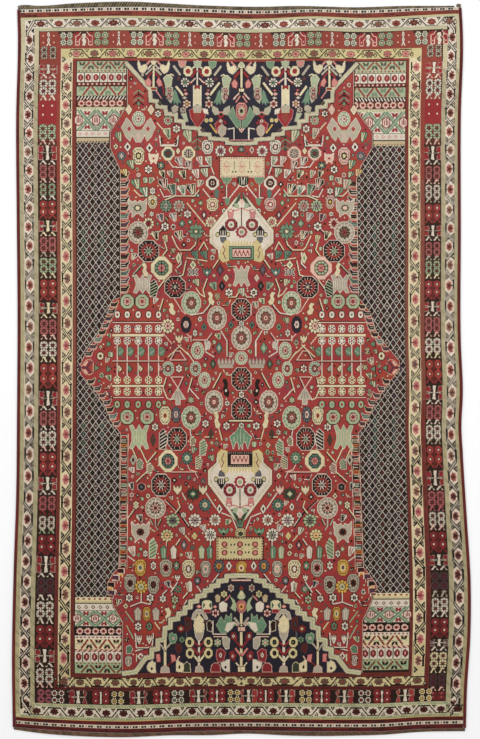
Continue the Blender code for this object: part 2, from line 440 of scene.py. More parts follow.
def end_vine(chart, spots, half, flowers, ground, heavy):
    """Stem of a short side: curls under its outer runs, eyed triangles beside its inner ones."""
    sign = 1
    for number, along in enumerate(spots):
        last = number + 1 == len(spots)
        gap = along - spots[number - 1] if last else spots[number + 1] - along
        flat, edge = gap * (0.34 if heavy else 0.30), half * 0.88
        facing = -sign * half
        if not last:
            bend = spots[number + 1] - gap * 0.30
            chart.line(
                [(along + flat, sign * edge), (bend, -sign * edge)], "black", 1.2 if heavy else 1.0,
            )
        chart.line(
            [(along - flat, sign * edge), (along + flat, sign * edge)], "black", 1.2 if heavy else 0.9,
        )
        petal, heart = flowers[number % len(flowers)]
        rim = "black" if heavy else "brown"
        palmette(chart, along, facing * 0.02, gap * 0.235, abs(half) * 0.72, petal, heart, rim)
        for way in (-1, 1):
            mid = along + way * gap * 0.40
            if sign * half > 0:
                chart.poly([(mid - 2.2, facing), (mid + 2.2, facing), (mid, facing * 0.2)], "black")
                base = [(mid - 0.9, facing * 0.82), (mid + 0.9, facing * 0.82)]
                chart.poly(base + [(mid, facing * 0.5)], "grey" if heavy else ground)
            elif heavy:
                chart.poly(
                    [(mid - 2.4, facing), (mid + 2.4, facing), (mid - way * 0.9, facing * 0.1)], "black",
                )
                base = [(mid - 1.2, facing * 0.8), (mid + 1.2, facing * 0.8)]
                chart.poly(base + [(mid - way * 0.5, facing * 0.35)], "grey")
            else:
                mid = along + way * gap * 0.33
                chart.disc(mid, facing * 0.20, 1.8, 2.2, "brown", 8)
                chart.disc(mid, facing * 0.24, 1.0, 1.3, ground, 6)
                chart.line([(mid - way * 1.6, facing * 0.3), (mid, half * sign * 0.6)], "brown", 0.6)
        sign = -sign


def border_rosettes(chart, length, petals, heart, foot):
    """Two columns of paired rosettes standing on splayed legs."""
    top = -length * 0.5
    spot = chart.spot
    for side in (-4.4, 4.4):
        for share in (0.20, 0.55):
            chart.spot = (spot[0] + side * chart.arms[0][0], spot[1] + top + length * share)
            rosette(
                chart, min(4.0, length * 0.2), petals, "black",
                "dark_green" if heart == "crimson" else "brown", 8, heart,
            )
        chart.spot = spot
        low = top + length * 0.74
        for way in (-1, 1):
            chart.poly(
                [
                    (side - 0.7, low), (side + 0.7, low), (side + way * 3.8, -top - 0.3),
                    (side + way * 2.0, -top - 0.3),
                ],
                foot,
            )
        chart.line([(side - 1.8, low + 0.8), (side + 1.8, low + 0.8)], foot, 0.8)


def border_dots(chart, length, wool, dot, filled):
    """Two columns of linked octagons with a pale knot in each."""
    top = -length * 0.5
    if filled:
        chart.box(-9.2, top, 9.2, -top, wool)
    else:
        chart.box(-1.8, top + 0.8, 1.8, -top - 1.2, "maroon")
    for side in (-4.6, 4.6):
        chart.box(side - 1.3, top + length * 0.2, side + 1.3, top + length * 0.6, wool)
        for share in (0.21, 0.60):
            y = top + length * share
            inked(
                chart, moved(octagon(3.4, length * 0.17), side, y), wool,
                "crimson" if filled else "maroon", 0.8,
            )
            if not filled:
                chart.disc(side, y, 2.0, 2.2, "brown", 8)
                chart.disc(side, y, 1.6, 1.8, "rust", 8)
            chart.disc(side, y, 1.0, 1.1, dot, 6)
        low = top + length * 0.76
        for way in (-1, 1):
            chart.line([(side, low), (side + way * 3.6, -top - 0.8)], wool, 1.0)


def border_blocks(chart, length, wool, pale):
    """Crimson hooks each side of a pale hourglass, above a row of pale legs."""
    top = -length * 0.5 + 0.8
    foot = length * 0.5 - 5.4
    middle = (top + foot) / 2
    for way, lean in ((-1, 0.0), (1, 1.0)):
        upper = [
            (way * 8.8, top + lean), (way * 4.8, top + 0.6), (way * 3.9, middle - 2.2),
            (way * 5.4, middle - 0.7), (way * 8.8, middle - 0.7),
        ]
        lower = [
            (way * 8.8, middle + 0.9), (way * 5.2, middle + 0.9), (way * 4.6, foot), (way * 8.8, foot),
        ]
        for shape in (upper, lower):
            inked(chart, shape, wool, "grey", 0.6)
    chart.line([(-6.4, middle), (6.4, middle)], "grey", 0.7)
    inked(
        chart,
        [
            (-1.8, top - 0.4), (1.8, top), (0.9, middle - 0.6), (2.0, foot), (-1.6, foot + 0.4),
            (-0.8, middle),
        ],
        pale, "black", 0.9,
    )
    for side in (-4.4, 4.4):
        for way in (-1, 1):
            chart.poly(
                [
                    (side - 0.9, foot + 1.0), (side + 0.9, foot + 1.0), (side + way * 4.0, -top + 0.4),
                    (side + way * 2.1, -top + 0.4),
                ],
                pale,
            )


def border_ladder(chart, wool, pale, dot):
    """Red blocks with knots each side of a pale linked stem, for the top side."""
    chart.box(-8.6, -7.2, 8.6, 7.4, wool)
    for side in (-5.4, 5.4):
        for y in (-3.2, 3.4):
            chart.disc(side, y, 0.8, 0.9, dot, 5)
    for y in (-4.4, 1.0):
        chart.disc(0, y, 1.8, 3.1, "maroon", 8)
        chart.disc(0, y, 1.3, 2.7, pale, 8)
        chart.disc(0, y, 0.5, 1.5, "maroon", 6)
    chart.line("-1.6 6.4 0 3.6 1.6 6.4", pale, 1.1)


def border_eights(chart, wool, pale, dot):
    """Two pairs of linked red octagons each side of a pale stem, for the bottom side."""
    for side in (-5.0, 5.0):
        for y in (-3.2, 3.0):
            chart.poly(moved(octagon(3.3, 3.6), side, y), wool)
            chart.disc(side, y, 1.7, 1.8, "maroon", 6)
            chart.disc(side, y, 1.0, 1.0, dot, 5)
    inked(chart, "-1 -5.6 1 -5.6 0.6 0 1 6 -1 6 -0.6 0", pale, "brown", 0.6)


def border_hooks(chart, wool, pale, line):
    """Outlined hooks each side of a pale vase, for the top side."""
    chart.box(-9.4, -7.4, 9.4, -4.6, "brown")
    for way in (-1, 1):
        chart.poly(scaled("8.8 -5.8 4.6 -6.8 4.2 6.6 8.8 6.6", way, 1), wool)
        chart.line(scaled("3 -6.6 5.6 -3.4 8.4 -2.6 8.4 6 4.8 6 4.8 1 2.6 -1.2", way, 1), line, 0.8)
        chart.disc(way * 6.6, 2.8, 0.7, 0.9, line, 5)
    inked(
        chart, "-1.4 -5 1.6 -5 2 -1.8 0.8 -0.4 2.4 2.4 1 6.6 -1.8 6.6 -1 3 -2.4 1.2 -1 -0.6 -2.2 -2.6",
        pale, "maroon", 0.7,
    )
    chart.disc(-0.4, -2.2, 0.6, 0.8, "green", 4)


def border_waists(chart, wool, pale, flip):
    """Crimson blocks with grey edges each side of a pale waisted figure, for the bottom side."""
    side = -1 if flip else 1
    inked(
        chart, scaled("-8.6 -5.6 -4.2 -6.4 -3.4 -1.4 -4.4 0.2 -3.6 6.2 -8.2 6.2", side, 1), wool, "grey",
        0.7,
    )
    inked(chart, scaled("5.4 -6.2 8.6 -4.4 6.6 0 8.6 6.2 4.6 6.2 5.8 0.4", side, 1), wool, "grey", 0.7)
    chart.line("-6.4 0 6.4 0", "grey", 0.7)
    inked(chart, "-1.6 -5.8 1.8 -6.4 0.9 -0.4 2.2 5.8 -1.8 5.8 -0.7 0", pale, "black", 0.8)


def border_quads(chart, petals, heart, radius=3.9, edge="dark_green"):
    """Four rosettes in a square, for the short sides."""
    spot = chart.spot
    for x in (-radius - 0.1, radius + 0.1):
        for y in (-3.4, 3.4):
            chart.spot = (spot[0] + x, spot[1] + y)
            chart.poly(octagon(radius * 1.02, 3.5), edge)
            for px, py in around(8, 1.0, math.pi / 8):
                chart.disc(px * radius * 0.68, py * 2.4, radius * 0.25, 0.85, petals, 5)
            chart.disc(0, 0, radius * 0.34, 1.1, heart, 6)
    chart.spot = spot


# Layout of the bands: left, top, right and bottom of each ring, in drawing units
RINGS = [
    ("guard", 19.1, 18.0, 459.9, 718.4), ("ivory", 23.7, 20.6, 456.2, 714.5),
    ("guard", 32.9, 28.6, 447.4, 706.2), ("brown", 38.0, 32.2, 442.8, 702.5),
    ("rust", 56.6, 47.0, 425.9, 689.0), ("yellow", 59.9, 49.4, 421.6, 685.6),
    ("rust", 72.2, 59.2, 410.4, 676.4), ("brown", 75.8, 61.6, 406.3, 672.0),
]
FIELD = (76.2, 62.0, 405.9, 671.6)

# Places of the flowers along the borders: number of the flower, then its place
OUTER_FLOWERS = places("0 40.5 7 170.5 12 264.5 17 368 25 541 33 704")
RIGHT_FLOWERS = places("0 40 3 95 7 169 9 210 12 265 16 347.5 18 392.5 22 477 27 575 29 621 33 706")
TOP_FLOWERS = places("0 39.5 4 113 9 208.8 14 302.5 18 378.5 22 450")
BOTTOM_FLOWERS = places("0 39.3 5 124 8 176 15 289.5 25 455")
INNER_FLOWERS = places("0 87 8 234 13 345.6 18 456.6 25 617.5 26 639 27 657.5")
INNER_RIGHT_FLOWERS = places("0 87 8 234 9 256 13 342.6 18 451 19 471 24 573 26 618 28 661")
LOW_LEFT_FLOWERS = [64.5, 81.5, 98.5, 116.0, 134.0, 148.0, 162.0, 180.0, 196.5, 213.0, 231.0]
LOW_RIGHT_FLOWERS = [251.0, 267.0, 284.5, 308.0, 324.5, 342.0, 360.0, 377.5, 396.0, 415.0]

# Figures down the main side borders: (kind, top, bottom, main wool, second wool)
LEFT_FIGURES = rows_of("""
    ladder 33 46.5 crimson ivory; rosettes 47 64 grey rust; blocks 64.5 79 crimson ivory;
    rosettes 79.5 101 ivory ivory; dots 101 124 crimson ivory; rosettes 124.5 145 light_green rose;
    blocks 145 165 crimson ivory; rosettes 165 183 blush rose; rosettes 183.5 200 light_green ivory;
    dots 200 219.5 red ivory; blocks 220 236.5 crimson cream; rosettes 237 257 blush grey;
    rosettes 257.5 278.5 light_green cream; dots 279 301 red ivory; blocks 302 318.5 crimson cream;
    rosettes 319.5 340 blush rose; rosettes 341 362.5 ivory cream; dots 363 389 red ivory;
    blocks 390.5 410.5 crimson ivory; rosettes 411 430.5 blush ivory; rosettes 431 451.5 ivory rose;
    dots 452 476 red ivory; blocks 476.5 495 crimson ivory; rosettes 496 515.5 blush crimson;
    rosettes 516 534 ivory light_green; dots 534.5 555 crimson ivory; blocks 555.5 577.5 crimson ivory;
    rosettes 578 600.5 plum ivory; rosettes 601 624 ivory ivory; dots 624.5 648 crimson ivory;
    blocks 648.5 667 crimson ivory; rosettes 668 687.5 ivory rose; quads 688.5 702.5 blush violet
""")
RIGHT_FIGURES = rows_of("""
    rosettes 46 63 grey rust; blocks 63 79.5 crimson ivory; rosettes 80 100 ivory ivory;
    dots 100 123.5 crimson ivory; rosettes 124 145 light_green rose; blocks 146 165 crimson ivory;
    rosettes 166 184.5 blush rose; rosettes 185 203 ivory grey; dots 203.5 223.5 red ivory;
    blocks 225 241 crimson ivory; rosettes 242 260.5 blush grey; rosettes 261 279 light_green cream;
    dots 280 300 red ivory; blocks 301 316.5 crimson ivory; rosettes 317 337 blush rose;
    rosettes 338 358.5 ivory cream; dots 359 384 red ivory; blocks 385 404.5 crimson ivory;
    rosettes 405 424.5 blush ivory; rosettes 425 444.5 ivory grey; dots 445 468.5 red ivory;
    blocks 470 490.5 crimson ivory; rosettes 491 511.5 blush blush; rosettes 512 530.5 ivory rose;
    dots 531 553 crimson ivory; blocks 554 570.5 crimson ivory; rosettes 571 597.5 plum grey;
    rosettes 598 617.5 ivory ivory; dots 618 638.5 crimson ivory; blocks 639 651.5 plum ivory;
    rosettes 652 674 cream cream; rosettes 674.5 692 plum rose; dots 692 702 crimson blush
""")


def along_table(table, position):
    points = np.array(table, dtype=float)
    if position > points[-1, 0]:
        slope = (points[-1, 1] - points[-2, 1]) / (points[-1, 0] - points[-2, 0])
        return points[-1, 1] + slope * (position - points[-1, 0])
    return float(np.interp(position, points[:, 0], points[:, 1]))


def paint_rings(chart):
    for wool, x0, y0, x1, y1 in RINGS:
        chart.fixed().box(x0, y0, x1, y1, wool)
    # upper part of the main border is dyed rust, and darkens below
    chart.box(60.0, 59.0, 72.2, 640.0, "cream")
    chart.box(409.8, 59.0, 421.6, 640.0, "cream")
    chart.box(38.0, 32.2, 442.8, 47.2, "rust")
    chart.box(38.0, 32.2, 56.8, 128.0, "rust")
    chart.box(425.6, 32.2, 442.8, 128.0, "rust")
    k = KNOTS
    rng = np.random.default_rng(4)
    for x0, x1 in ((38.0, 56.6), (425.9, 442.8)):
        block = chart.cells[int(122 * k):int(150 * k), int(x0 * k):int(x1 * k)]
        share = np.linspace(1.0, 0.0, block.shape[0])[:, None]
        block[...] = np.where(rng.random(block.shape) < share, WOOL["rust"], WOOL["brown"])
    chart.box(38.0, 32.2, 442.8, 33.0, "brown")
    # barber-pole guards: faint at the top, clear lower down
    for x0, x1, lean in (
        (19.6, 23.4, -1.0), (33.3, 37.6, -1.0), (443.3, 447.0, -1.0), (456.6, 459.5, -1.0),
    ):
        hatch_band(chart, x0, 70, x1, 714, "guard", "guard_line", lean)
    hatch_band(chart, 24.0, 715.0, 456.0, 717.6, "guard", "green", 1.0, 2.6, 0.45)
    hatch_band(chart, 36.0, 703.0, 446.0, 705.8, "guard", "green", -1.0, 2.6, 0.45)
    hatch_band(chart, 22.0, 18.6, 458.0, 20.4, "guard", "light_green", 1.0, 2.6, 0.5)
    hatch_band(chart, 34.0, 29.0, 446.0, 31.8, "guard", "light_green", -1.0, 2.6, 0.4)
    chart.box(20.0, 17.8, 459.6, 18.8, "yellow")
    chart.box(20.0, 717.8, 459.6, 718.6, "gold")
    for x0, x1 in ((19.0, 19.7), (459.5, 460.2)):
        chart.box(x0, 18.0, x1, 260.0, "yellow")
        chart.box(x0, 260.0, x1, 718.0, "gold")
    for x0, x1 in ((57.0, 59.6), (72.6, 75.4), (406.6, 410.0), (422.0, 425.6)):
        hatch_band(
            chart, x0, 400, x1, 688 if x0 in (57.0, 422.0) else 672, "rust", "maroon", -1.0, 2.6, 0.5,
        )
        hatch_band(chart, x0, 180, x1, 400, "rust", "earth", -1.0, 2.6, 0.35)
        if x0 in (72.6, 406.6):
            hatch_band(chart, x0, 61.0, x1, 180, "rust", "maroon", -1.0, 2.6, 0.55)
    chart.box(57.0, 686.0, 425.0, 688.6, "maroon")
    hatch_band(chart, 73.0, 672.6, 410.0, 676.0, "maroon", "rust", 1.0, 2.6, 0.5)
    for x in (38.0, 442.6):
        chart.fixed().line([(x, 31.8), (x, 702.5)], "brown", 0.8)
    for x in (60.2, 71.8, 409.9, 421.3):
        chart.line([(x, 49.4), (x, 685.6)], "cream", 0.7)
    chart.line("75.9 61.6 75.9 672", "brown", 0.9)
    chart.line("406.2 61.6 406.2 672", "brown", 0.9)
    chart.line("75.8 61.7 406.3 61.7", "brown", 0.9)


def paint_outer_vines(chart):
    flowers = []
    for number in range(34):
        if number < 5 or number > 22:
            flowers.append(("maroon", "brown"))
        else:
            flowers.append(("rust", "brown") if number % 3 else ("earth", "maroon"))
    for centre, way, table in ((28.3, 1.0, OUTER_FLOWERS), (451.8, -1.0, RIGHT_FLOWERS)):
        chart.arms = ((0.0, way), (1.0, 0.0))
        chart.spot = (centre, 0)
        side_vine(chart, [along_table(table, number) for number in range(34)], 4.5, flowers, "ivory")
    for x, way in ((24.0, 1), (456.0, -1)):
        for y, fall in ((21.0, 1), (714.0, -1)):
            chart.at(x, y, flip=way < 0, stretch=fall)
            for width, wool in ((3.0, "black"), (1.2, "ivory")):
                chart.line("9 0.8 1.6 12 1.4 15", wool, width)
            chart.poly("2 0.4 6.4 0.4 4 3.8", "black")
            chart.poly("0.4 4.4 0.4 9 2.8 6.6", "black")
            chart.poly("8.6 7.4 8.6 13 5.6 10.4", "black")
    chart.at(0, 24.7)
    end_vine(
        chart, [along_table(TOP_FLOWERS, number) for number in range(23)], -4.0,
        [("maroon", "earth"), ("rust", "earth"), ("earth", "rust"), ("rust", "brown")], "ivory", False,
    )
    chart.at(0, 710.4)
    end_vine(
        chart, [along_table(BOTTOM_FLOWERS, number) for number in range(26)], 4.2, [("maroon", "brown")],
        "ivory", True,
    )


def paint_inner_vines(chart):
    left = [68.0] + [along_table(INNER_FLOWERS, number) for number in range(28)] + [680.5]
    right = [68.0] + [along_table(INNER_RIGHT_FLOWERS, number) for number in range(29)]
    for centre, way, spots in ((66.1, 1.0, left), (416.0, -1.0, right)):
        chart.arms = ((0.0, way), (1.0, 0.0))
        chart.spot = (centre, 0)
        side_vine(
            chart, spots, 4.7,
            [("blush", "rust"), ("earth", "rust"), ("blush", "rust"), ("earth", "plum")], "cream",
        )
    chart.at(0, 54.5)
    end_vine(
        chart, [75.5 + 18.35 * number for number in range(19)], -4.6,
        [("pink", "rust"), ("earth", "rust"), ("blush", "earth")], "yellow", False,
    )
    chart.at(0, 681.0)
    for spots in (LOW_LEFT_FLOWERS, LOW_RIGHT_FLOWERS):
        end_vine(
            chart, spots, 4.3, [("earth", "rust"), ("earth", "plum"), ("earth", "madder")], "yellow",
            True,
        )
    for way in (-1, 1):
        chart.poly(scaled("239.4 3.6 243.4 3.6 241.4 0", 1, way), "black")


def paint_main_border(chart):
    for centre, figures in ((47.3, LEFT_FIGURES), (434.4, RIGHT_FIGURES)):
        for kind, top, bottom, wool, second in figures:
            top, bottom = float(top), float(bottom)
            chart.at(
                centre, (top + bottom) / 2, size=1.0 if centre < 100 else 0.93, flip=centre > 100,
                stretch=1.0 if centre < 100 else 1 / 0.93,
            )
            length = bottom - top
            if kind == "rosettes":
                border_rosettes(
                    chart, length, wool, "rust" if wool in ("grey", "blush") else "crimson", second,
                )
            elif kind == "dots":
                border_dots(chart, length, wool, second, top < 110)
            elif kind == "blocks":
                border_blocks(chart, length, wool, second)
            elif kind == "quads":
                border_quads(chart, wool, second, 3.6, "plum")
            else:
                border_ladder(chart, "rust", second, "rose")
    for step in range(6):
        x = 47.3 + 71.2 * step
        if step:
            border_ladder(chart.at(x, 39.9), "rust", "ivory", "rose")
        chart.at(x + 18.3, 39.9)
        chart.box(-8.0, -7.4, 8.0, -5.0, "brown")
        border_quads(chart, "ivory", "light_green", 3.2)
        border_hooks(chart.at(x + 36.0, 39.9), "crimson", "ivory", "rose")
        if step < 5:
            border_quads(chart.at(x + 53.6, 39.9), "light_green", "tan", 3.7, "dark_green")
    for x, wool, heart in (
        (60.0, "ivory", "crimson"), (118.3, "cream", "gold"), (178.0, "ivory", "green"),
        (234.0, "cream", "gold"), (305.5, "cream", "gold"), (364.0, "ivory", "crimson"),
        (423.4, "cream", "gold"),
    ):
        border_quads(chart.at(x, 695.6), wool, heart, 3.3, "black")
    for x in (101.7, 161.5, 217.0, 265.7, 321.5, 381.0):
        border_eights(chart.at(x, 695.6), "crimson", "ivory", "rose")
    for x in (79.5, 139.0, 198.5, 248.5, 286.0, 344.0, 403.5):
        border_waists(chart.at(x, 695.6), "crimson" if x < 240 else "red", "ivory", x > 240)


def paint_lattice(chart, x0, x1, y0, y1):
    k = KNOTS
    ys = (np.arange(int(y0 * k), int(y1 * k))[:, None] + 0.5) / k
    xs = (np.arange(int(x0 * k), int(x1 * k))[None, :] + 0.5) / k
    drift = 0.5 * np.sin(ys / 23.0) + 0.3 * np.sin(xs / 9.0 + ys / 37.0)
    u = (xs - x0) / 6.3 + 0.0 * ys
    tall = 8.6 + 0.9 * np.exp(-((ys - 315.0) / 26.0) ** 2)
    rows = np.cumsum(np.ones_like(ys) / (tall * k), axis=0) + drift * 0.05
    a = (u + rows) % 1.0
    b = (u - rows) % 1.0
    thread = np.minimum(np.minimum(a, 1 - a), np.minimum(b, 1 - b))
    cell_a = np.floor(u + rows).astype(int)
    cell_b = np.floor(u - rows).astype(int)
    block = np.full(thread.shape, WOOL["black"], dtype=np.uint8)
    core = np.abs(((a - 0.5) - (b - 0.5))) + 2.2 * np.abs((a - 0.5) + (b - 0.5))
    column = (cell_a + cell_b) % 6
    tints = np.array(
        [WOOL[name] for name in ("black", "violet", "black", "maroon", "black", "violet")],
        dtype=np.uint8,
    )
    band = (np.sin(ys / 31.0 + xs * 0.0) > 0.82)
    tint = tints[column]
    tint = np.where(band & (column == 1), WOOL["teal"], tint)
    block = np.where(core < 0.62, tint, block)
    rim = (core >= 0.62) & (core < 0.80)
    block = np.where(rim, WOOL["brown"], block)
    dash = (np.abs(a - b) < 0.10) & (np.abs(a + b - 1) < 0.34) & ((column == 2) | (column == 5))
    block = np.where(dash, WOOL["grey"], block)
    block = np.where(thread < 0.062, WOOL["thread"], block)
    chart.cells[int(y0 * k):int(y1 * k), int(x0 * k):int(x1 * k)] = block


# Left and right edges of the red field, in drawing units
FIELD_LEFT = places(
    "128 61 128 106 111 132 111 148 121 170 121 297 112.5 301 107 316 98 335 86 353 80 366 81 375 92 385 "
    "104 402 112 421 121 433 120.4 567 114 573.6 109 583 109 590.6 113.4 598 114.4 605 121 616 124 622 "
    "124 672"
)
FIELD_RIGHT = places(
    "353 61 353 107 372 132 372 148 361 165 356 179 358 297 370 313 376 332 385 344 399 361 399 370 387 "
    "384 373 405 367 421 358 433 361.4 567 367.6 575 374 585 374.4 589 369.6 594 369.4 600 364 613 360.4 "
    "620 360.4 672"
)
TOP_PEAK = places(
    "126 64 150 90 150.5 101 157 101.5 157 107 165.5 107.5 166 114 176 114.5 176 121 183.5 121.5 183.5 "
    "127.5 199.5 128.5 200 134 209.5 134.5 210 138.5 227 139.5 227 143 241.4 143.5"
)
BOTTOM_PEAK = places(
    "124 672 136 670.5 146 657 152 656 152 649 158 648 158 640 164.5 639 165 628 170.5 627 170.5 619.5 "
    "178 618.5 178.5 613.5 185 613 185 607.5 190.5 607 190.5 601.5 197 601 197.5 596 204.5 595.5 205 "
    "590.5 211 590 211.5 586 218 585.5 218.5 581 226.5 580.5 226.5 576 241.4 575.5"
)


def paint_ground(chart):
    chart.fixed()
    x0, y0, x1, y1 = FIELD
    chart.box(x0, y0, x1, y1, "brown")
    paint_lattice(chart, 76.6, 130, 142, 597)
    paint_lattice(chart, 350, 406, 146, 593)
    paint_corner_panels(chart)
    chart.fixed()
    for reach, wool in ((1.8, "brown"), (1.2, "rose"), (0.5, "black"), (0.0, "red")):
        chart.poly(
            [(x - reach, y) for x, y in FIELD_LEFT] + [(x + reach, y) for x, y in FIELD_RIGHT[::-1]],
            wool,
        )


LOW_TEETH = [
    (118.6, 571.0, 362.2, 570.0), (113.6, 577.8, 368.4, 576.6), (109.2, 584.6, 372.6, 583.6),
    (109.6, 592.6, 373.2, 590.6),
]


def paint_teeth(chart):
    """Hooked comb teeth along the slopes of the red field, and the barred strips below them."""
    bodies = ("black", "black", "violet", "black", "black", "teal", "violet")
    runs = [
        (FIELD_LEFT, 172, 297, 8.1, 1), (FIELD_LEFT, 301, 358, 7.0, 1), (FIELD_LEFT, 378, 432, 7.0, 1),
        (FIELD_RIGHT, 180, 297, 8.1, -1), (FIELD_RIGHT, 303, 352, 7.0, -1),
        (FIELD_RIGHT, 378, 432, 7.0, -1),
    ]
    for edge, start, stop, pitch, way in runs:
        table = sorted([(y, x) for x, y in edge])
        for number in range(int((stop - start) / pitch)):
            y = start + pitch * (number + 0.5)
            chart.at(along_table(table, y) - way * 0.6, y, flip=way < 0, size=pitch / 8.1)
            tooth = places("0 -1.8 5 -1.8 8.2 -4.4 8.8 -3 5.8 2.2 0 2.2")
            chart.line("0 3.6 6.2 3.6 8 1", "rose", 0.6)
            inked(chart, tooth, bodies[number % 7], "ivory" if number % 2 else "cream", 0.9)
            chart.line("0.8 0.2 5 0.2", "grey" if number % 2 else "plum", 0.9)
    for edge, way in ((FIELD_LEFT, 1), (FIELD_RIGHT, -1)):
        table = sorted([(y, x) for x, y in edge])
        y = 435.0
        number = 0
        while y < 564:
            x0 = along_table(table, y) - way * 0.4
            chart.at(x0, y, flip=way < 0, size=0.95)
            chart.box(0, -0.8, 7.6, 8.2, "black")
            inked(chart, "0.8 0.4 6.2 0.4 6.2 3 0.8 3", "red", ("ivory", "gold", "rose")[number % 3], 0.7)
            inked(chart, "0.8 4.6 6 4.6 6 7.6 0.8 7.6", bodies[number % 7], "cream", 0.6)
            chart.line("1.2 6.1 5.6 6.1", "grey" if number % 2 else "ivory", 0.6)
            y += 8.9
            number += 1
        chart.at(0, 0)
        chart.line([(along_table(table, 434) + way * 7.0, 434), (x0 + way * 7.2, 569)], "rose", 0.7)
    for number, row in enumerate(LOW_TEETH):
        for x, y, way in ((row[0], row[1], 1), (row[2], row[3], -1)):
            chart.at(x, y, flip=way < 0)
            chart.poly(
                "-0.6 2.6 4.8 2.6 4.8 6.4 3.2 6.4 3.2 4.4 -0.6 4.4", "rust" if number % 2 else "gold",
            )
            chart.line("-1 2.2 4.2 2.2 4.2 5.6", "ivory", 0.7)
            chart.line("0 -2.8 6 -2.8 6 2.4", "ivory", 0.8)
            chart.poly("0 -2.2 5.4 -2.2 5.4 2.2 3 2.2 3 1.2 -0.6 1.2", ("black", "violet")[number % 2])
    for x, way in ((87.0, 1), (393.0, -1)):
        chart.at(x, 367, flip=way < 0)
        inked(chart, "-6.6 0.6 -1.6 -6.6 3 -7.4 5.6 -4 5.6 5 2.6 7.6 -1.8 7", "red", "cream", 0.9)
        chart.poly("-4.4 -1.6 -1 -6 0.8 -5.6 -2 -1.2", "rose")
        chart.poly("-4.4 2.6 -1.2 6.6 0.6 6.2 -2 2.4", "rose")
        chart.line("-8 -1.2 -8 4.2", "violet", 1.6)
        chart.line("-8 0.6 0.4 0.6", "violet", 1.5)
        chart.line("5 -4.6 2.4 -4.2 0.2 -0.4 0.2 1.6 2.6 5.2 5.2 5.2", "violet", 1.6)


# Striped corner panels. Each row function draws from the outer edge inwards between two heights.

def chevron_row(chart, wide, y0, y1, ground, ink, flower):
    chart.box(0, y0, wide, y1, ground)
    middle = 5.0
    while middle < wide + 8:
        chart.line([(middle + 1.4, y1 - 1.0), (middle + 7.4, y0 + 0.8)], ink, 1.8)
        chart.line([(middle + 10.2, y0 + 0.8), (middle + 16.2, y1 - 1.0)], ink, 1.8)
        for x, y, way in ((middle, y0 + 0.4, 1), (middle + 8.8, y1 - 0.4, -1)):
            chart.poly(
                [(x - 3.2, y), (x + 3.2, y), (x + 2.4, y + way * 3.4), (x - 2.4, y + way * 3.4)], flower,
            )
            chart.poly([(x - 1.4, y), (x + 1.4, y), (x, y + way * 2.4)], ground)
            chart.disc(x, y + way * 0.9, 0.8, 0.8, "pink", 5)
            chart.line(
                [(x - 3.4, y + way * 4.6), (x, y + way * 3.8), (x + 3.4, y + way * 4.6)], "green", 0.6,
            )
        middle += 17.6


def box_row(chart, wide, y0, y1):
    chart.box(0, y0, wide, y1, "ivory")
    middle, high = (y0 + y1) / 2, (y1 - y0) / 2
    x = 3.6
    while x < wide - 1:
        chart.poly(moved(pointed(2.7, high * 0.84, 0.4), x, middle), "maroon")
        chart.poly(moved(pointed(2.1, high * 0.70, 0.4), x, middle), "crimson")
        chart.line([(x, middle - 1.2), (x, middle + 1.2)], "rose", 0.8)
        chart.box(x + 3.5, y0, x + 4.2, y1, "dark_green")
        x += 7.7


def rosette_row(chart, wide, y0, y1, ground):
    chart.box(0, y0, wide, y1, ground)
    x = 4.6
    while x < wide - 2:
        for px, py in around(8, 2.4, math.pi / 8):
            chart.disc(x + px, (y0 + y1) / 2 + py, 1.1, 1.1, "rose", 6)
        for way in (-1, 1):
            chart.disc(x + way * 1.0, (y0 + y1) / 2, 0.8, 1.1, "crimson", 6)
        x += 7.7


def cross_row(chart, wide, y0, y1):
    chart.box(0, y0, wide, y1, "ivory")
    middle, high = (y0 + y1) / 2, (y1 - y0) / 2
    crossing = 10.6
    while crossing < wide + 10:
        for way in (-1, 1):
            for shift, wool in ((-1.6, "green"), (0.0, "light_green"), (1.6, "teal")):
                chart.line(
                    [
                        (crossing - 8.6 + shift, middle - way * high),
                        (crossing + 8.6 + shift, middle + way * high),
                    ],
                    wool, 1.2,
                )
        for way in (-1, 1):
            y = middle + way * high * 0.72
            chart.poly(
                [
                    (crossing - 3.4, y + way * 1.6), (crossing + 3.4, y + way * 1.6),
                    (crossing + 1.6, y - way * 2.6), (crossing, y - way * 1.2),
                    (crossing - 1.6, y - way * 2.6),
                ],
                "crimson",
            )
            chart.disc(crossing, y + way * 1.0, 0.9, 0.9, "rose", 5)
        for x in (crossing - 8.8, crossing + 8.8):
            chart.poly(moved(pointed(4.2, high * 0.62, 0.5), x, middle), "crimson")
            chart.poly(moved(pointed(3.2, high * 0.50, 0.5), x, middle), "ivory")
            for shift in (-1.6, 0.0, 1.6):
                chart.box(
                    x + shift - 0.5, middle - high * (0.22 if shift else 0.44), x + shift + 0.5,
                    middle + high * 0.24, "crimson",
                )
        crossing += 17.6


def dot_row(chart, wide, y0, y1, ground, wool, pitch, shape="dot"):
    chart.box(0, y0, wide, y1, ground)
    middle, high = (y0 + y1) / 2, (y1 - y0) / 2
    x = pitch * 0.5
    while x < wide:
        if shape == "dot":
            chart.disc(x, middle, pitch * 0.26, high * 0.62, wool, 6)
        elif shape == "slant":
            chart.line([(x - pitch * 0.3, y1 - 0.2), (x + pitch * 0.3, y0 + 0.2)], wool, pitch * 0.36)
        else:
            chart.poly(diamond(x, middle, high * 0.62, high * 0.62), wool)
            chart.poly(diamond(x, middle, high * 0.34, high * 0.34), ground)
        x += pitch


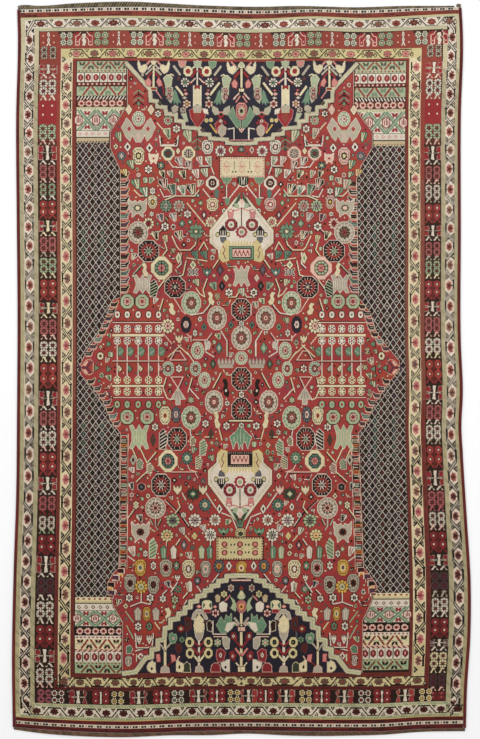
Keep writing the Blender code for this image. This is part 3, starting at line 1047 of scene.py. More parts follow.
def paint_corner_panels(chart):
    for edge, width, flip in ((76.6, 51.4, False), (406.2, 53.0, True)):
        chart.at(edge, -2.6 if flip else 0.0, flip=flip, stretch=1.042 if flip else 1.0)
        chart.box(0, 61.8, width, 142, "brown")
        chevron_row(chart, width, 62.2, 70.2, "light_green", "rust", "dark_green")
        dot_row(chart, width, 70.2, 73.0, "light_green", "crimson", 3.8)
        box_row(chart, width, 73.6, 82.4)
        dot_row(chart, width, 82.8, 86.2, "maroon", "rose", 4.4)
        chevron_row(chart, width, 86.8, 96.0, "light_green", "crimson", "green")
        dot_row(chart, width, 96.6, 99.8, "black", "ivory", 3.2, "slant")
        rosette_row(chart, width, 100.2, 107.2, "maroon")
        dot_row(chart, width - 2, 107.4, 110.4, "cream", "light_green", 3.4, "slant")
        cross_row(chart, width - 8, 110.4, 130.4)
        chart.box(0, 130.4, width - 16, 130.9, "dark_green")
        dot_row(chart, width - 17, 130.9, 137.0, "ivory", "pink", 6.4, "diamond")
        chart.box(0, 137.0, width - 17, 137.8, "black")
        chart.box(0, 137.8, width - 17, 140.6, "tan")
        dot_row(chart, width - 17, 140.6, 142.4, "tan", "black", 3.0)
        wide = 47.4 if not flip else 45.2
        chart.at(edge, -14.4 if flip else 0.0, flip=flip, stretch=1.0174 if flip else 1.0)
        dot_row(chart, wide - 10, 597.0, 600.4, "cream", "crimson", 5.4)
        chart.box(0, 600.4, wide - 9, 602.6, "yellow")
        chart.box(0, 602.6, wide - 9, 603.6, "black")
        dot_row(chart, wide - 8, 603.6, 610.2, "ivory", "maroon", 7.0, "diamond")
        cross_row(chart, wide - 2, 610.6, 625.6)
        rosette_row(chart, wide, 626.6, 634.8, "black")
        dot_row(chart, wide, 635.2, 638.4, "ivory", "crimson", 3.9)
        chevron_row(chart, wide, 638.4, 648.4, "cream", "crimson", "black")
        dot_row(chart, wide, 648.4, 650.8, "maroon", "rose", 5.0, "slant")
        box_row(chart, wide, 651.0, 661.2)
        dot_row(chart, wide, 661.2, 663.4, "light_green", "crimson", 3.8)
        chevron_row(chart, wide, 663.4, 672.0, "light_green", "rust", "black")
        chart.box(wide, 621, wide + 1.2, 672, "cream")


# Figures of the two dark grounds, left half: wool, outline, then the corners of the shape
TOP_SHAPES = rows_of("""
    cream grey 138 61.5 139.6 64 140 66 141 67 144 65.5 146.6 66 147 69 145 72 143 74 140 72.5 138.4 70
      137.6 65;
    cream grey 169 61.5 167.4 64 167 66 166 67 163 65.5 160.4 66 160 69 162 72 164 74 167 72.5 168.6 70
      169.4 65;
    grey brown 141 74 144 74 143.4 77 141.6 77; cream brown 150 61.5 157 61.5 155 65.4 151.8 65.4;
    pink crimson 148.6 78.4 151 82 150.4 87 147 86.4 145 82;
    pink crimson 158.6 78.4 161.4 82 162 86 158.6 87 156.4 82;
    rust cream 151 88 156.4 88 156.4 90.6 151 90.6;
    pink light_green 178.4 61.5 186 61.5 185 66.4 181.6 68 179.4 66;
    green light_green 208.8 61.5 216.4 61.5 215.4 66 212.4 68.4 209.6 66.4;
    light_green grey 193.6 61.5 201.4 61.5 200 67.4 195 67.4;
    light_green cream 163.6 79 167 75.4 170 76 172 78 171 86 166 86 164.6 82;
    grey light_green 165.6 86 172.6 88 173 98 171 103 166.4 98;
    green teal 174.6 90 176.6 93 178 98 180.6 103 178 101.6 177.6 105 175.6 101.6 174 104 173.4 97;
    light_green cream 230.8 79 227.4 75.4 224.4 76 222.4 78 223.4 86 228.4 86 229.8 82;
    grey light_green 228.8 86 222 88 221.4 98 223.4 103 228 98;
    green teal 219.8 90 217.8 93 216.4 98 213.8 103 216.4 101.6 216.8 105 218.8 101.6 220.4 104 221 97;
    cream ivory 193.6 86 201 86 201 106 197.3 103.4 193.6 106;
    crimson maroon 195 86 199.6 86 199.6 89 197.3 87.6 195 89;
    grey brown 171 108 175 105 178.4 106.6 178 111 173 113.6;
    light_green grey 180.6 108.6 184.6 108 187.6 121 185.4 121.6 181.4 114;
    crimson pink 189.6 110.6 193 108.6 201.6 108.6 205.6 112.6 204.6 118 198.6 126.4 196.4 126.4 191 118;
    rust red 193.6 117 197.3 112 201 117 197.3 124;
    grey light_green 193.4 107 195 105.6 199.6 105.6 201.2 107 200.6 112.6 194 112.6;
    ivory grey 203 108.6 207.4 109.6 208 114 204 113;
    grey light_green 212.4 106 217.6 108.6 219 113.6 215 114.6 212.6 111;
    grey light_green 229.6 106 224.4 108.6 223 113.6 227 114.6 229.4 111;
    grey rose 219 127 222 124.6 226 128 225 134 221.6 136.6 218.6 133;
    green light_green 228.6 115 233 107 236 117 240.4 121 240.4 130 236 126;
    crimson pink 215 124 219.6 121 222.6 123 218 127 217 132;
    cream grey 227.4 61.5 229 64 229.4 66 230.4 67 233.4 65.5 236 66 236.4 69 234.4 72 232.4 74 229.4
      72.5 227.8 70 227 65;
    pink crimson 234.6 79 237.6 83 236.4 88 233 87 231.6 83
""")
TOP_STEMS = rows_of("""
    cream 1.7 153.4 61 153.4 88; pink 1.6 145 67 149.6 62; ivory 1.0 148 69.6 152 65;
    pink 1.6 161.8 67 157.2 62; ivory 1.0 158.8 69.6 154.8 65; grey 1.8 151.4 69.6 146 75;
    grey 1.8 155.4 69.6 160.8 75; crimson 1.4 151.4 73.6 147.6 78; crimson 1.4 155.4 73.6 159.2 78;
    pink 1.0 156 91 161.4 98.6; crimson 0.8 162.6 84 163.8 95; grey 2.0 173.8 66.6 180 75;
    grey 2.0 220.8 66.6 214.6 75; cream 1.9 176.4 87 182.8 95.4; cream 1.9 219.2 83 210.4 94.6;
    ivory 1.6 197.3 61 197.3 85; cream 1.4 195 66.6 190 70.6; cream 1.4 199.6 66.6 204.6 70.6;
    crimson 2.4 195.4 70.6 191.4 76.6; crimson 2.4 199.2 70.6 203.2 76.6;
    rose 1.2 195.4 78.6 191 82.6 188.6 82.6; rose 1.2 199.2 78.6 203.6 82.6 206 82.6;
    crimson 0.9 191.4 83.8 188.6 83.8; crimson 0.9 203.2 83.8 206 83.8;
    cream 0.8 168 76 171 74.6 173.6 76; cream 0.8 226.6 76 223.6 74.6 221 76; slate 1.6 185 114 188 121.6;
    gold 1.2 210.4 124.6 216.6 133; crimson 1.8 216 112 226 123.6; crimson 1.8 226 112 216 123.6;
    pink 1.2 217.6 112.4 225 112.4; pink 1.6 231.6 62 236 67; crimson 2.0 240 71 235 77;
    grey 1.4 238 68 233.6 73; rose 1.2 240 92 233.6 99; pink 1.2 240 96 236 102;
    cream 1.9 241.4 62 241.4 92; ivory 0.8 228 129 234 128 234 141; pink 1.0 230 140 241 140
""")
TOP_FIGURES = rows_of("""
    eye 188 71.6 4.6 5 cream crimson rust; eye 206.8 71.6 4.6 5 cream crimson rust;
    petal 185 82.6 4.4 4.8 ivory dark_green green; petal 209.6 82.6 4.4 4.8 ivory dark_green green;
    beads 169.4 91 2.8 3 rose red; beads 169 97 2.8 3 pink ivory; beads 225.4 91 2.8 3 rose red;
    beads 225.6 97 2.8 3 pink ivory; leaf 185 90.4 2.4 1.2 crimson rose; leaf 186 94 2.6 1.8 pink rose;
    leaf 184.6 98 2.6 1.6 grey ivory; beads 186.8 104 4.4 4.6 rose gold;
    leaf 208.2 90.4 2.4 1.2 crimson rose; leaf 207.4 94 2.6 1.8 rose pink;
    leaf 208.2 98 2.6 1.6 grey ivory; beads 209 104 4.4 4.6 rose crimson;
    daisy 183 110 3.4 3.2 grey slate; eye 206.6 120.4 1.9 2 yellow gold brown;
    eye 211 120.2 1.9 2 yellow gold brown; leaf 221 121 2 2 ivory crimson;
    leaf 178.6 79 1.8 2.4 plum maroon; leaf 160 103.4 2 2 dark_green plum; leaf 216 79 2 2.6 plum maroon;
    leaf 203 130 2.6 2 plum dark_green
""")
TOP_SINGLE = rows_of("""
    bud 241.4 111 5.6 8.6 pink light_green brown; bell 241.4 64.6 3.6 3.2 cream light_green;
    plate 241.4 90 2.6 1.6 cream rust; tulip 241.4 130 4 4 rose crimson
""")
BOTTOM_SHAPES = rows_of("""
    cream grey 147.6 665 149 662 151 661 152.6 659.6 153.6 662 155.6 661.4 155.8 671.6 152 671.6 148.6
      669.4 147.4 667;
    cream grey 176.4 660 178 659.4 179.6 661.6 183 663 184.2 667 182 671.4 176.4 670.6;
    ivory grey 221 662.6 225 661 227 659.4 229.6 659.4 229.6 671.4 225 670.6 222 667.4;
    pink crimson 156.4 653.6 160 653.6 160.6 661 157 661;
    pink crimson 171 654 175 654.6 176 659.6 172 662;
    grey rose 161 671.6 161.6 667 165 664.6 168.6 667 169.6 671.6;
    green light_green 169.4 634 172 632.4 173 634 176 634 177 638 175 642.6 171 643 169.4 638;
    maroon plum 176 643.6 181 644 181.6 650 178 653.4 175.6 648;
    maroon plum 185 616.6 191 618 191.6 628 186 632;
    grey ivory 192 618.6 193.4 613 197 609.6 201.4 609.6 205 613 207.8 618.6 205.6 619.6 202 613.4 196.6
      613.4 194 619.6;
    grey ivory 194.4 628 204 628 202.6 636 200.6 640 197.8 640 195.6 636;
    cream yellow 199 614.6 203.6 620 204.2 626 202 632 196.4 632 194 626 194.8 620;
    grey rose 195.4 671.6 196 667 199 664.6 202.4 667 203.4 671.6;
    cream light_green 202.6 602 205 600.4 209.4 600.4 211.6 602 211.8 608 209 611 205.4 611 202.4 608;
    crimson pink 204.6 609.4 210 609.4 210.6 612.6 204 612.6;
    dark_green green 203.4 603 205 605 203.4 607.6; dark_green green 210.8 603 209.2 605 210.8 607.6;
    ivory grey 219.4 603.6 223 601.4 227 604 226.4 611 221 611.6 219.4 608;
    tan brown 215 596 217.6 594 220.6 597 219.6 602 216 602;
    green light_green 216.6 625 221 617 224.6 622.6 226 615 229 618 231.4 613.6 231.6 622.6 235.4 624.6
      229.6 628.4 225.6 632.6 220.6 632;
    ivory light_green 227 623 234.6 622 232 628 227.6 632 225 630;
    brown ivory 207 622 210 620.4 212.6 624 211.6 631.6 207.4 630;
    grey ivory 222.6 638 226.4 636.6 229.4 639 229 648 226 649 223.4 645;
    crimson pink 217 650 221 648.6 225.4 652 223.6 660 218 662 216.4 656;
    crimson rose 211 671.6 211.4 665.6 214 663 217.6 663 220 665.6 220.4 671.6;
    dark_green cream 183.6 671.6 184 664 187 661.6 190 664 190.4 671.6;
    crimson maroon 231.4 632 235.6 632.6 237.4 638 235 641 231 638;
    crimson maroon 229.6 652 233 650.4 236.4 655 234.6 660.6 230 658.6;
    light_green dark_green 230 596 234.6 600 236.6 606 235.6 612 230.4 608 233 603
""")
BOTTOM_STEMS = rows_of("""
    cream 1.9 165.3 640 165.3 666; grey 1.3 171 642.6 166.4 648; grey 1.2 161 644 164.6 650;
    crimson 0.9 168 664.6 174 660; ivory 1.8 199 638 199 665; crimson 1.8 192.6 640 198 645.6;
    crimson 1.8 205.4 640 200 645.6; crimson 2.4 193.4 648 198 654; crimson 2.4 204.6 648 200 654;
    cream 1.6 193 654 198.6 661; cream 1.6 205 654 199.4 661; ivory 0.9 213 621 213 634 226 634;
    rose 0.9 214 636.4 225 636.4; pink 1.0 225.4 600.4 230 595.4; cream 2.0 241.4 613 241.4 668;
    grey 2.0 234.6 618 239 624; rose 1.2 235 622.6 238.6 626.6; crimson 1.8 236 641 240.6 647;
    pink 1.8 235.6 648.6 240.6 655; cream 1.0 236 662.6 240 667; rose 1.0 232 580.4 241.4 580.4;
    slate 0.9 186.6 632 186.6 638; rose 0.9 177 660 179.6 656
""")
BOTTOM_FIGURES = rows_of("""
    daisy 181 628.6 4.2 4.2 crimson yellow; daisy 182 639.4 3.2 3.4 green maroon;
    leaf 199 606.4 2.8 2 pink rose; eye 189.6 642 4.2 5.2 yellow black green;
    eye 208.4 642 4.2 5.2 yellow black green; eye 190 653 4.2 4.8 yellow black plum;
    eye 208.4 653 4.2 4.8 yellow black plum; beads 215.6 613 4.2 3.6 rose crimson;
    leaf 215 606.6 2.4 1.8 pink rose; daisy 224 594 3.6 3.8 yellow green;
    daisy 231 588 3.4 4.4 grey crimson; daisy 217.6 642.4 4 4.4 light_green rose;
    eye 173.2 638 1.4 1.6 ivory crimson maroon; leaf 233.6 636 1.6 2 ivory crimson;
    leaf 232.6 656 1.4 2 rose crimson; leaf 220.6 655 1.8 3 ivory crimson;
    leaf 152 667.6 0.9 1.2 brown brown; leaf 179.4 666.6 0.8 1.6 brown brown;
    leaf 225.6 667 0.9 1.2 brown brown; leaf 188 624 1.6 3 dark_green plum; leaf 205 622 1.4 2 plum maroon
""")
BOTTOM_SINGLE = rows_of("""
    leaf 241.4 588.6 2.4 3.4 rust crimson; bell 241.4 595 4 4.4 light_green cream;
    bud 241.4 606.6 4.8 6 pink gold rust; plate 241.4 629 3.4 2.2 rose crimson;
    plate 241.4 669 3.4 2.4 cream rust
""")


def paint_shapes(chart, rows):
    for wool, ink, *numbers in rows:
        for place, flip in both_sides(0):
            chart.at(place, 0, flip=flip)
            inked(chart, pairs(numbers), wool, ink, 1.0)


def paint_dark_ground(chart, edge, far, outer, inner, line):
    """One dark ground: its stepped outline from edge to edge, filled as far as the border."""
    whole = edge + [(2 * AXIS - x, y) for x, y in edge[::-1]]
    chart.fixed().poly(whole + [(whole[-1][0], far), (whole[0][0], far)], "navy")
    for width, wool in ((outer + 1.4, "black"), (outer, "grey"), (inner, "cream"), (inner * 0.4, line)):
        chart.line(whole, wool, width)


def paint_top_spandrel(chart):
    paint_dark_ground(chart, TOP_PEAK, 61.9, 4.2, 1.8, "light_green")
    chart.box(129.4, 61.6, 353.4, 62.4, "brown")
    paint_stems(chart, TOP_STEMS)
    paint_shapes(chart, TOP_SHAPES)
    paint_pairs(chart, TOP_FIGURES)
    paint_singles(chart, TOP_SINGLE)


def paint_bottom_spandrel(chart):
    paint_dark_ground(chart, BOTTOM_PEAK, 672.0, 5.2, 3.0, "light_green")
    paint_stems(chart, BOTTOM_STEMS)
    paint_shapes(chart, BOTTOM_SHAPES)
    paint_pairs(chart, BOTTOM_FIGURES)
    paint_singles(chart, BOTTOM_SINGLE)


def paint_vase(chart, x, y, stretch, frame_wool):
    """One ivory vase around its box; a negative stretch hangs it below."""
    half = places("0.6 -53 3.6 -56 5.4 -54.8 31.2 -22.6 31.4 -10.6 23 -3 22.2 5 11 5")
    body = half + [(-px, py) for px, py in half[::-1]]
    for width, wool in ((2.6, "black"), (1.4, "cream"), (0.0, "ivory")):
        chart.at(x, y, stretch=stretch)
        if width:
            chart.outline(body, wool, width)
        else:
            chart.poly(body, wool)
    inner = scaled(half, 0.93)
    chart.line([(px, py * 0.99 - 0.5) for px, py in inner[2:7]], "tan", 0.6)
    chart.line([(-px, py * 0.99 - 0.5) for px, py in inner[2:7]], "tan", 0.6)
    for way in (-1, 1):
        chart.at(x, y, flip=way < 0, stretch=stretch)
        chart.poly("0.2 -63 2.6 -57 9.6 -47 7.6 -46 1.6 -53", "dark_green")
        chart.line("1.6 -60 8.2 -48", "green", 0.8)
        inked(chart, "4 -50 7.4 -48.6 6 -45.6 2.6 -45", "light_green", "green", 0.8)
        chart.line("0 -45 6 -42.4 12 -43.6", "pink", 1.2)
        inked(chart, "8 -43 9.6 -40.6 12.6 -40.6 13.8 -43 13 -35.6 9 -35.6", "pink", "crimson", 0.8)
        rosette(
            chart.at(x + way * 10.4, y - 28.4 * stretch, stretch=stretch), 5.6, "madder", "ivory", None,
            10, "dark_green",
        )
        chart.disc(0, 0, 3.2, 3.4, "ivory", 10)
        chart.disc(0, 0, 1.9, 2.0, "light_green", 8)
        chart.disc(0, 0, 0.8, 0.8, "black", 5)
        chart.at(x, y, flip=way < 0, stretch=stretch)
        inked(chart, "15 -22.6 18.4 -27.4 22.4 -22.6 22.4 -18 15 -18", "black", "slate", 0.8)
        for px in (16.4, 18.6, 20.8):
            chart.line([(px, -22.4), (px, -18.4)], "ivory", 0.8)
        chart.disc(13.4, -18.6, 2.2, 2.6, "black", 8)
        chart.disc(13.4, -18.6, 1.5, 1.9, "yellow", 8)
        chart.disc(24, -18.4, 2.2, 2.6, "black", 8)
        chart.disc(24, -18.4, 1.5, 1.9, "yellow", 8)
        inked(chart, "15.4 -15.4 21.4 -15.4 20.4 -11.4 18.4 -10 16.2 -11.4", "slate", "black", 0.8)
        inked(
            chart, "11.8 -8.4 14.6 -13.2 17.4 -10.6 20.2 -3 22.2 5.6 18.6 9 12.4 7.2", "yellow", "gold",
            1.0,
        )
        chart.line("18.6 -7 16.4 -3 18.4 0 16 5.6", "rust", 0.9)
        chart.line("15.2 -8 14.4 -2 15.2 3", "gold", 0.6)
    chart.at(x, y, stretch=stretch)
    for step in range(9):
        px = -11 + 2.75 * step
        chart.poly([(px - 1.4, -7.4), (px + 1.4, -7.4), (px * 1.14, -13.6 + 0.12 * abs(px))], "yellow")
        chart.line([(px, -7.4), (px * 1.1, -12)], "gold", 0.5)
    chart.line("0 -45 0 -27", "brown", 0.9)
    for px, py in around(10, 4.4):
        chart.disc(px, py - 21, 1.7, 1.7, "madder", 6)
    chart.disc(0, -21, 3.4, 3.6, "ivory", 10)
    chart.disc(0, -21, 2.4, 2.6, "light_green", 8)
    chart.line("-1.4 -21 1.4 -21", "crimson", 0.6)
    chart.disc(0.4, -51, 1.8, 2.6, "rose", 6)
    for rx, ry, wool in (
        (12.6, 7.2, "black"), (12.0, 6.6, frame_wool), (9.8, 4.9, "black"), (9.0, 4.2, "rose"),
    ):
        chart.box(-rx, -ry, rx, ry, wool)
    if frame_wool == "black":
        for step in range(11):
            for py in (-6.0, 6.0):
                chart.disc(-11 + 2.2 * step, py, 0.6, 0.5, "grey", 5)
    for px in (-6, -2, 2, 6):
        chart.line([(px - 1.6, 2.6), (px, -2.6), (px + 1.6, 2.6)], "crimson", 0.9)
        chart.disc(px, 1.6, 0.7, 0.8, "ivory", 4)


def paint_cartouche(chart, x0, y0, x1, y1, wool, mark):
    """Oblong with a dotted edge, thin crossed figures and small bars."""
    middle = (y0 + y1) / 2
    chart.fixed().box(x0 - 1.4, y0 - 1.4, x1 + 1.4, y1 + 1.4, "brown")
    chart.box(x0 - 0.7, y0 - 0.7, x1 + 0.7, y1 + 0.7, wool)
    step = 0
    while x0 + step * 2.6 < x1:
        for y in (y0 + 0.4, y1 - 0.4):
            chart.box(x0 + step * 2.6, y - 0.8, x0 + step * 2.6 + 1.3, y + 0.8, mark)
        step += 1
    for step in range(int((y1 - y0) / 2.6)):
        for x in (x0 + 0.2, x1 - 0.2):
            chart.box(x - 0.8, y0 + step * 2.6, x + 0.8, y0 + step * 2.6 + 1.3, mark)
    if mark == "rust":
        for number, share in enumerate((0.16, 0.34, 0.5, 0.66, 0.84)):
            x = x0 + (x1 - x0) * share
            for way in (-1, 1):
                if number % 2:
                    chart.poly(
                        [
                            (x - 2.2, middle + way * 3.8 - 1.4), (x, middle + way * 3.8),
                            (x - 2.2, middle + way * 3.8 + 1.4),
                        ],
                        "black",
                    )
                    chart.poly(
                        [
                            (x + 2.2, middle + way * 3.8 - 1.4), (x, middle + way * 3.8),
                            (x + 2.2, middle + way * 3.8 + 1.4),
                        ],
                        "black",
                    )
                    chart.disc(x, middle + way * 3.8, 0.8, 0.9, "ivory", 5)
                else:
                    chart.disc(x, middle + way * 4.2, 3.2, 3.1, mark, 8)
                    chart.disc(x, middle + way * 4.2, 1.9, 1.9, "pink", 6)
            if number % 2 == 0:
                chart.line(
                    [(x - 3.0, middle + 0.4), (x, middle - 1.2), (x + 3.0, middle + 0.4)], mark, 0.8,
                )
        return
    for share in (0.14, 0.5, 0.86):
        x = x0 + (x1 - x0) * share
        for way in (-1, 1):
            chart.line(
                [
                    (x, middle - 6), (x + way * 2.6, middle - 3.4), (x, middle - 0.6),
                    (x + way * 3.0, middle + 3.4), (x, middle + 6),
                ],
                mark, 0.6,
            )
        for way in (-1, 1):
            chart.line([(x + way * 1.0, middle - 0.6), (x + way * 3.4, middle - 0.6)], mark, 0.6)
        chart.disc(x, middle + 3.2, 0.9, 0.9, "gold", 4)
    for share in (0.32, 0.68):
        x = x0 + (x1 - x0) * share
        chart.line([(x, middle - 6), (x, middle + 2)], "black", 0.6)
        for way in (-1, 1):
            chart.disc(x + way * 1.5, middle + 4.6, 0.9, 0.9, "black", 4)


def paint_vases(chart):
    paint_vase(chart, 241.6, 253.0, 1.0, "green")
    paint_vase(chart, 240.0, 459.4, -1.08, "black")
    paint_cartouche(chart, 220.6, 157.6, 263.6, 176.6, "cream", "pink")
    paint_cartouche(chart, 217.4, 538.0, 262.4, 559.0, "yellow", "rust")
    # leaves and stems hang between the upper vase and its cartouche
    for way in (-1, 1):
        chart.at(243.0, 0, flip=way < 0)
        inked(
            chart, "11 177.4 21.6 177.4 18.6 183.4 18 181 16.4 187 14.8 181 13.8 183.4", "green",
            "light_green", 0.8,
        )
        branch(chart, "16.4 186 16.4 197.6 20 198", "ivory", 0.9)
        branch(chart, "4 186 14 198.6", "ivory", 0.9)
        chart.poly("12.6 199 15.6 197.4 18.4 200.4 17 205.4 14 204.6", "green")
        chart.poly("24 190 27.4 189 29 194 27 199 24.4 197", "teal")
    chart.at(243.0, 180.6)
    chart.poly("-5.4 -4 5.4 -4 5.4 2 3 5.4 -3 5.4 -5.4 2", "black")
    for px in (-3.8, -1.3, 1.3, 3.8):
        chart.line([(px, -3.4), (px * 0.9, 3.6)], "green" if abs(px) > 2 else "ivory", 1.0)
    chart.line("-5.2 4.2 0 6.4 5.2 4.2", "ivory", 0.8)


def paint_comb_rows(chart):
    columns = {False: (117, 127, 138, 148.5, 158.4), True: (361, 352, 342, 332, 322)}
    for flip, stands in columns.items():
        chart.fixed()
        x0, x1 = min(stands) - 5.2, max(stands) + 5.2
        rows = [
            (322.3, 1.0, "rose"), (335.2, 2.2, "cream"), (361.2, 1.0, "rose"), (386.0, 2.2, "cream"),
            (397.4, 1.0, "rose"),
        ]
        for y, thick, wool in rows:
            chart.box(x0, y - thick / 2 - 0.6, x1, y + thick / 2 + 0.6, "black")
            chart.box(x0, y - thick / 2, x1, y + thick / 2, wool)
        for number, x in enumerate(stands):
            for y in (314.7, 404.5):
                chart.fixed()
                chart.disc(x, y, 3.6, 4.4, "black", 8)
                chart.disc(x, y, 2.8, 3.6, "light_green" if y > 360 else "ivory", 8)
                chart.disc(x, y, 1.1, 1.6, "green" if number % 2 else "crimson", 6)
            for y in (328.8, 340.8, 380.0, 391.6):
                chart.at(x, y)
                chart.poly(octagon(3.6, 3.9), "ivory" if y < 360 else "cream")
                for dx, dy in around(6, 2.4, math.pi / 6):
                    chart.disc(dx, dy * 1.1, 0.85, 0.95, "black", 5)
                chart.disc(0, 0, 1.1, 1.2, "crimson" if number % 2 else "ivory", 5)
            chart.at(x, 0, flip=flip)
            chart.box(-0.6, 344.5, 0.6, 361, "ivory")
            inked(chart, "0.8 347.4 3.4 346.6 6.6 350 6 353.6 3.4 356.4 0.8 355", "green", "black", 0.9)
            chart.line("1.2 353.6 5.6 351", "grey", 0.5)
            chart.line("1.2 350.8 4.6 348.8", "teal", 0.6)
            chart.line("2.4 355.6 5.4 353.4", "teal", 0.6)
            chart.box(-0.6, 362.4, 0.6, 376.4, "ivory")
            chart.poly("0.4 363 5.8 368.6 4.4 371.4 0.4 373.2", "black")
            chart.poly(
                "0.8 364.4 4.8 368.6 3.6 370.6 0.8 372",
                ("cream", "green", "cream", "grey", "pink")[number],
            )
            chart.line("1.2 371.4 3 367.4", "black", 0.5)
        for x, y in ((127.0, 301.5), (142.0, 301.5), (127.0, 417.0), (147.0, 417.0)):
            chart.at(x if not flip else 2 * AXIS - x - 2.5, y)
            chart.poly(octagon(7.4, 8.0), "brown")
            chart.poly(octagon(6.6, 7.2), "light_green")
            chart.poly(octagon(3.9, 4.3), "maroon")
            rosette(chart, 3.6, "rose", "crimson")
        for x, y in ((109.0, 344.0), (109.0, 369.0), (97.0, 368.0)):
            chart.at(x if not flip else 2 * AXIS - x - 1.0, y, flip=flip)
            chart.poly("-3 -4 3 0 -3 4", "black")
            chart.poly("-2.3 -2.8 2 0 -2.3 2.8", "green")
        chart.at(100.0 if not flip else 2 * AXIS - 101.0, 356.0)
        chart.disc(0, 0, 4.2, 4.8, "black", 8)
        chart.disc(0, 0, 3.3, 3.9, "cream", 8)
        chart.disc(0, 0, 1.6, 1.9, "plum", 6)


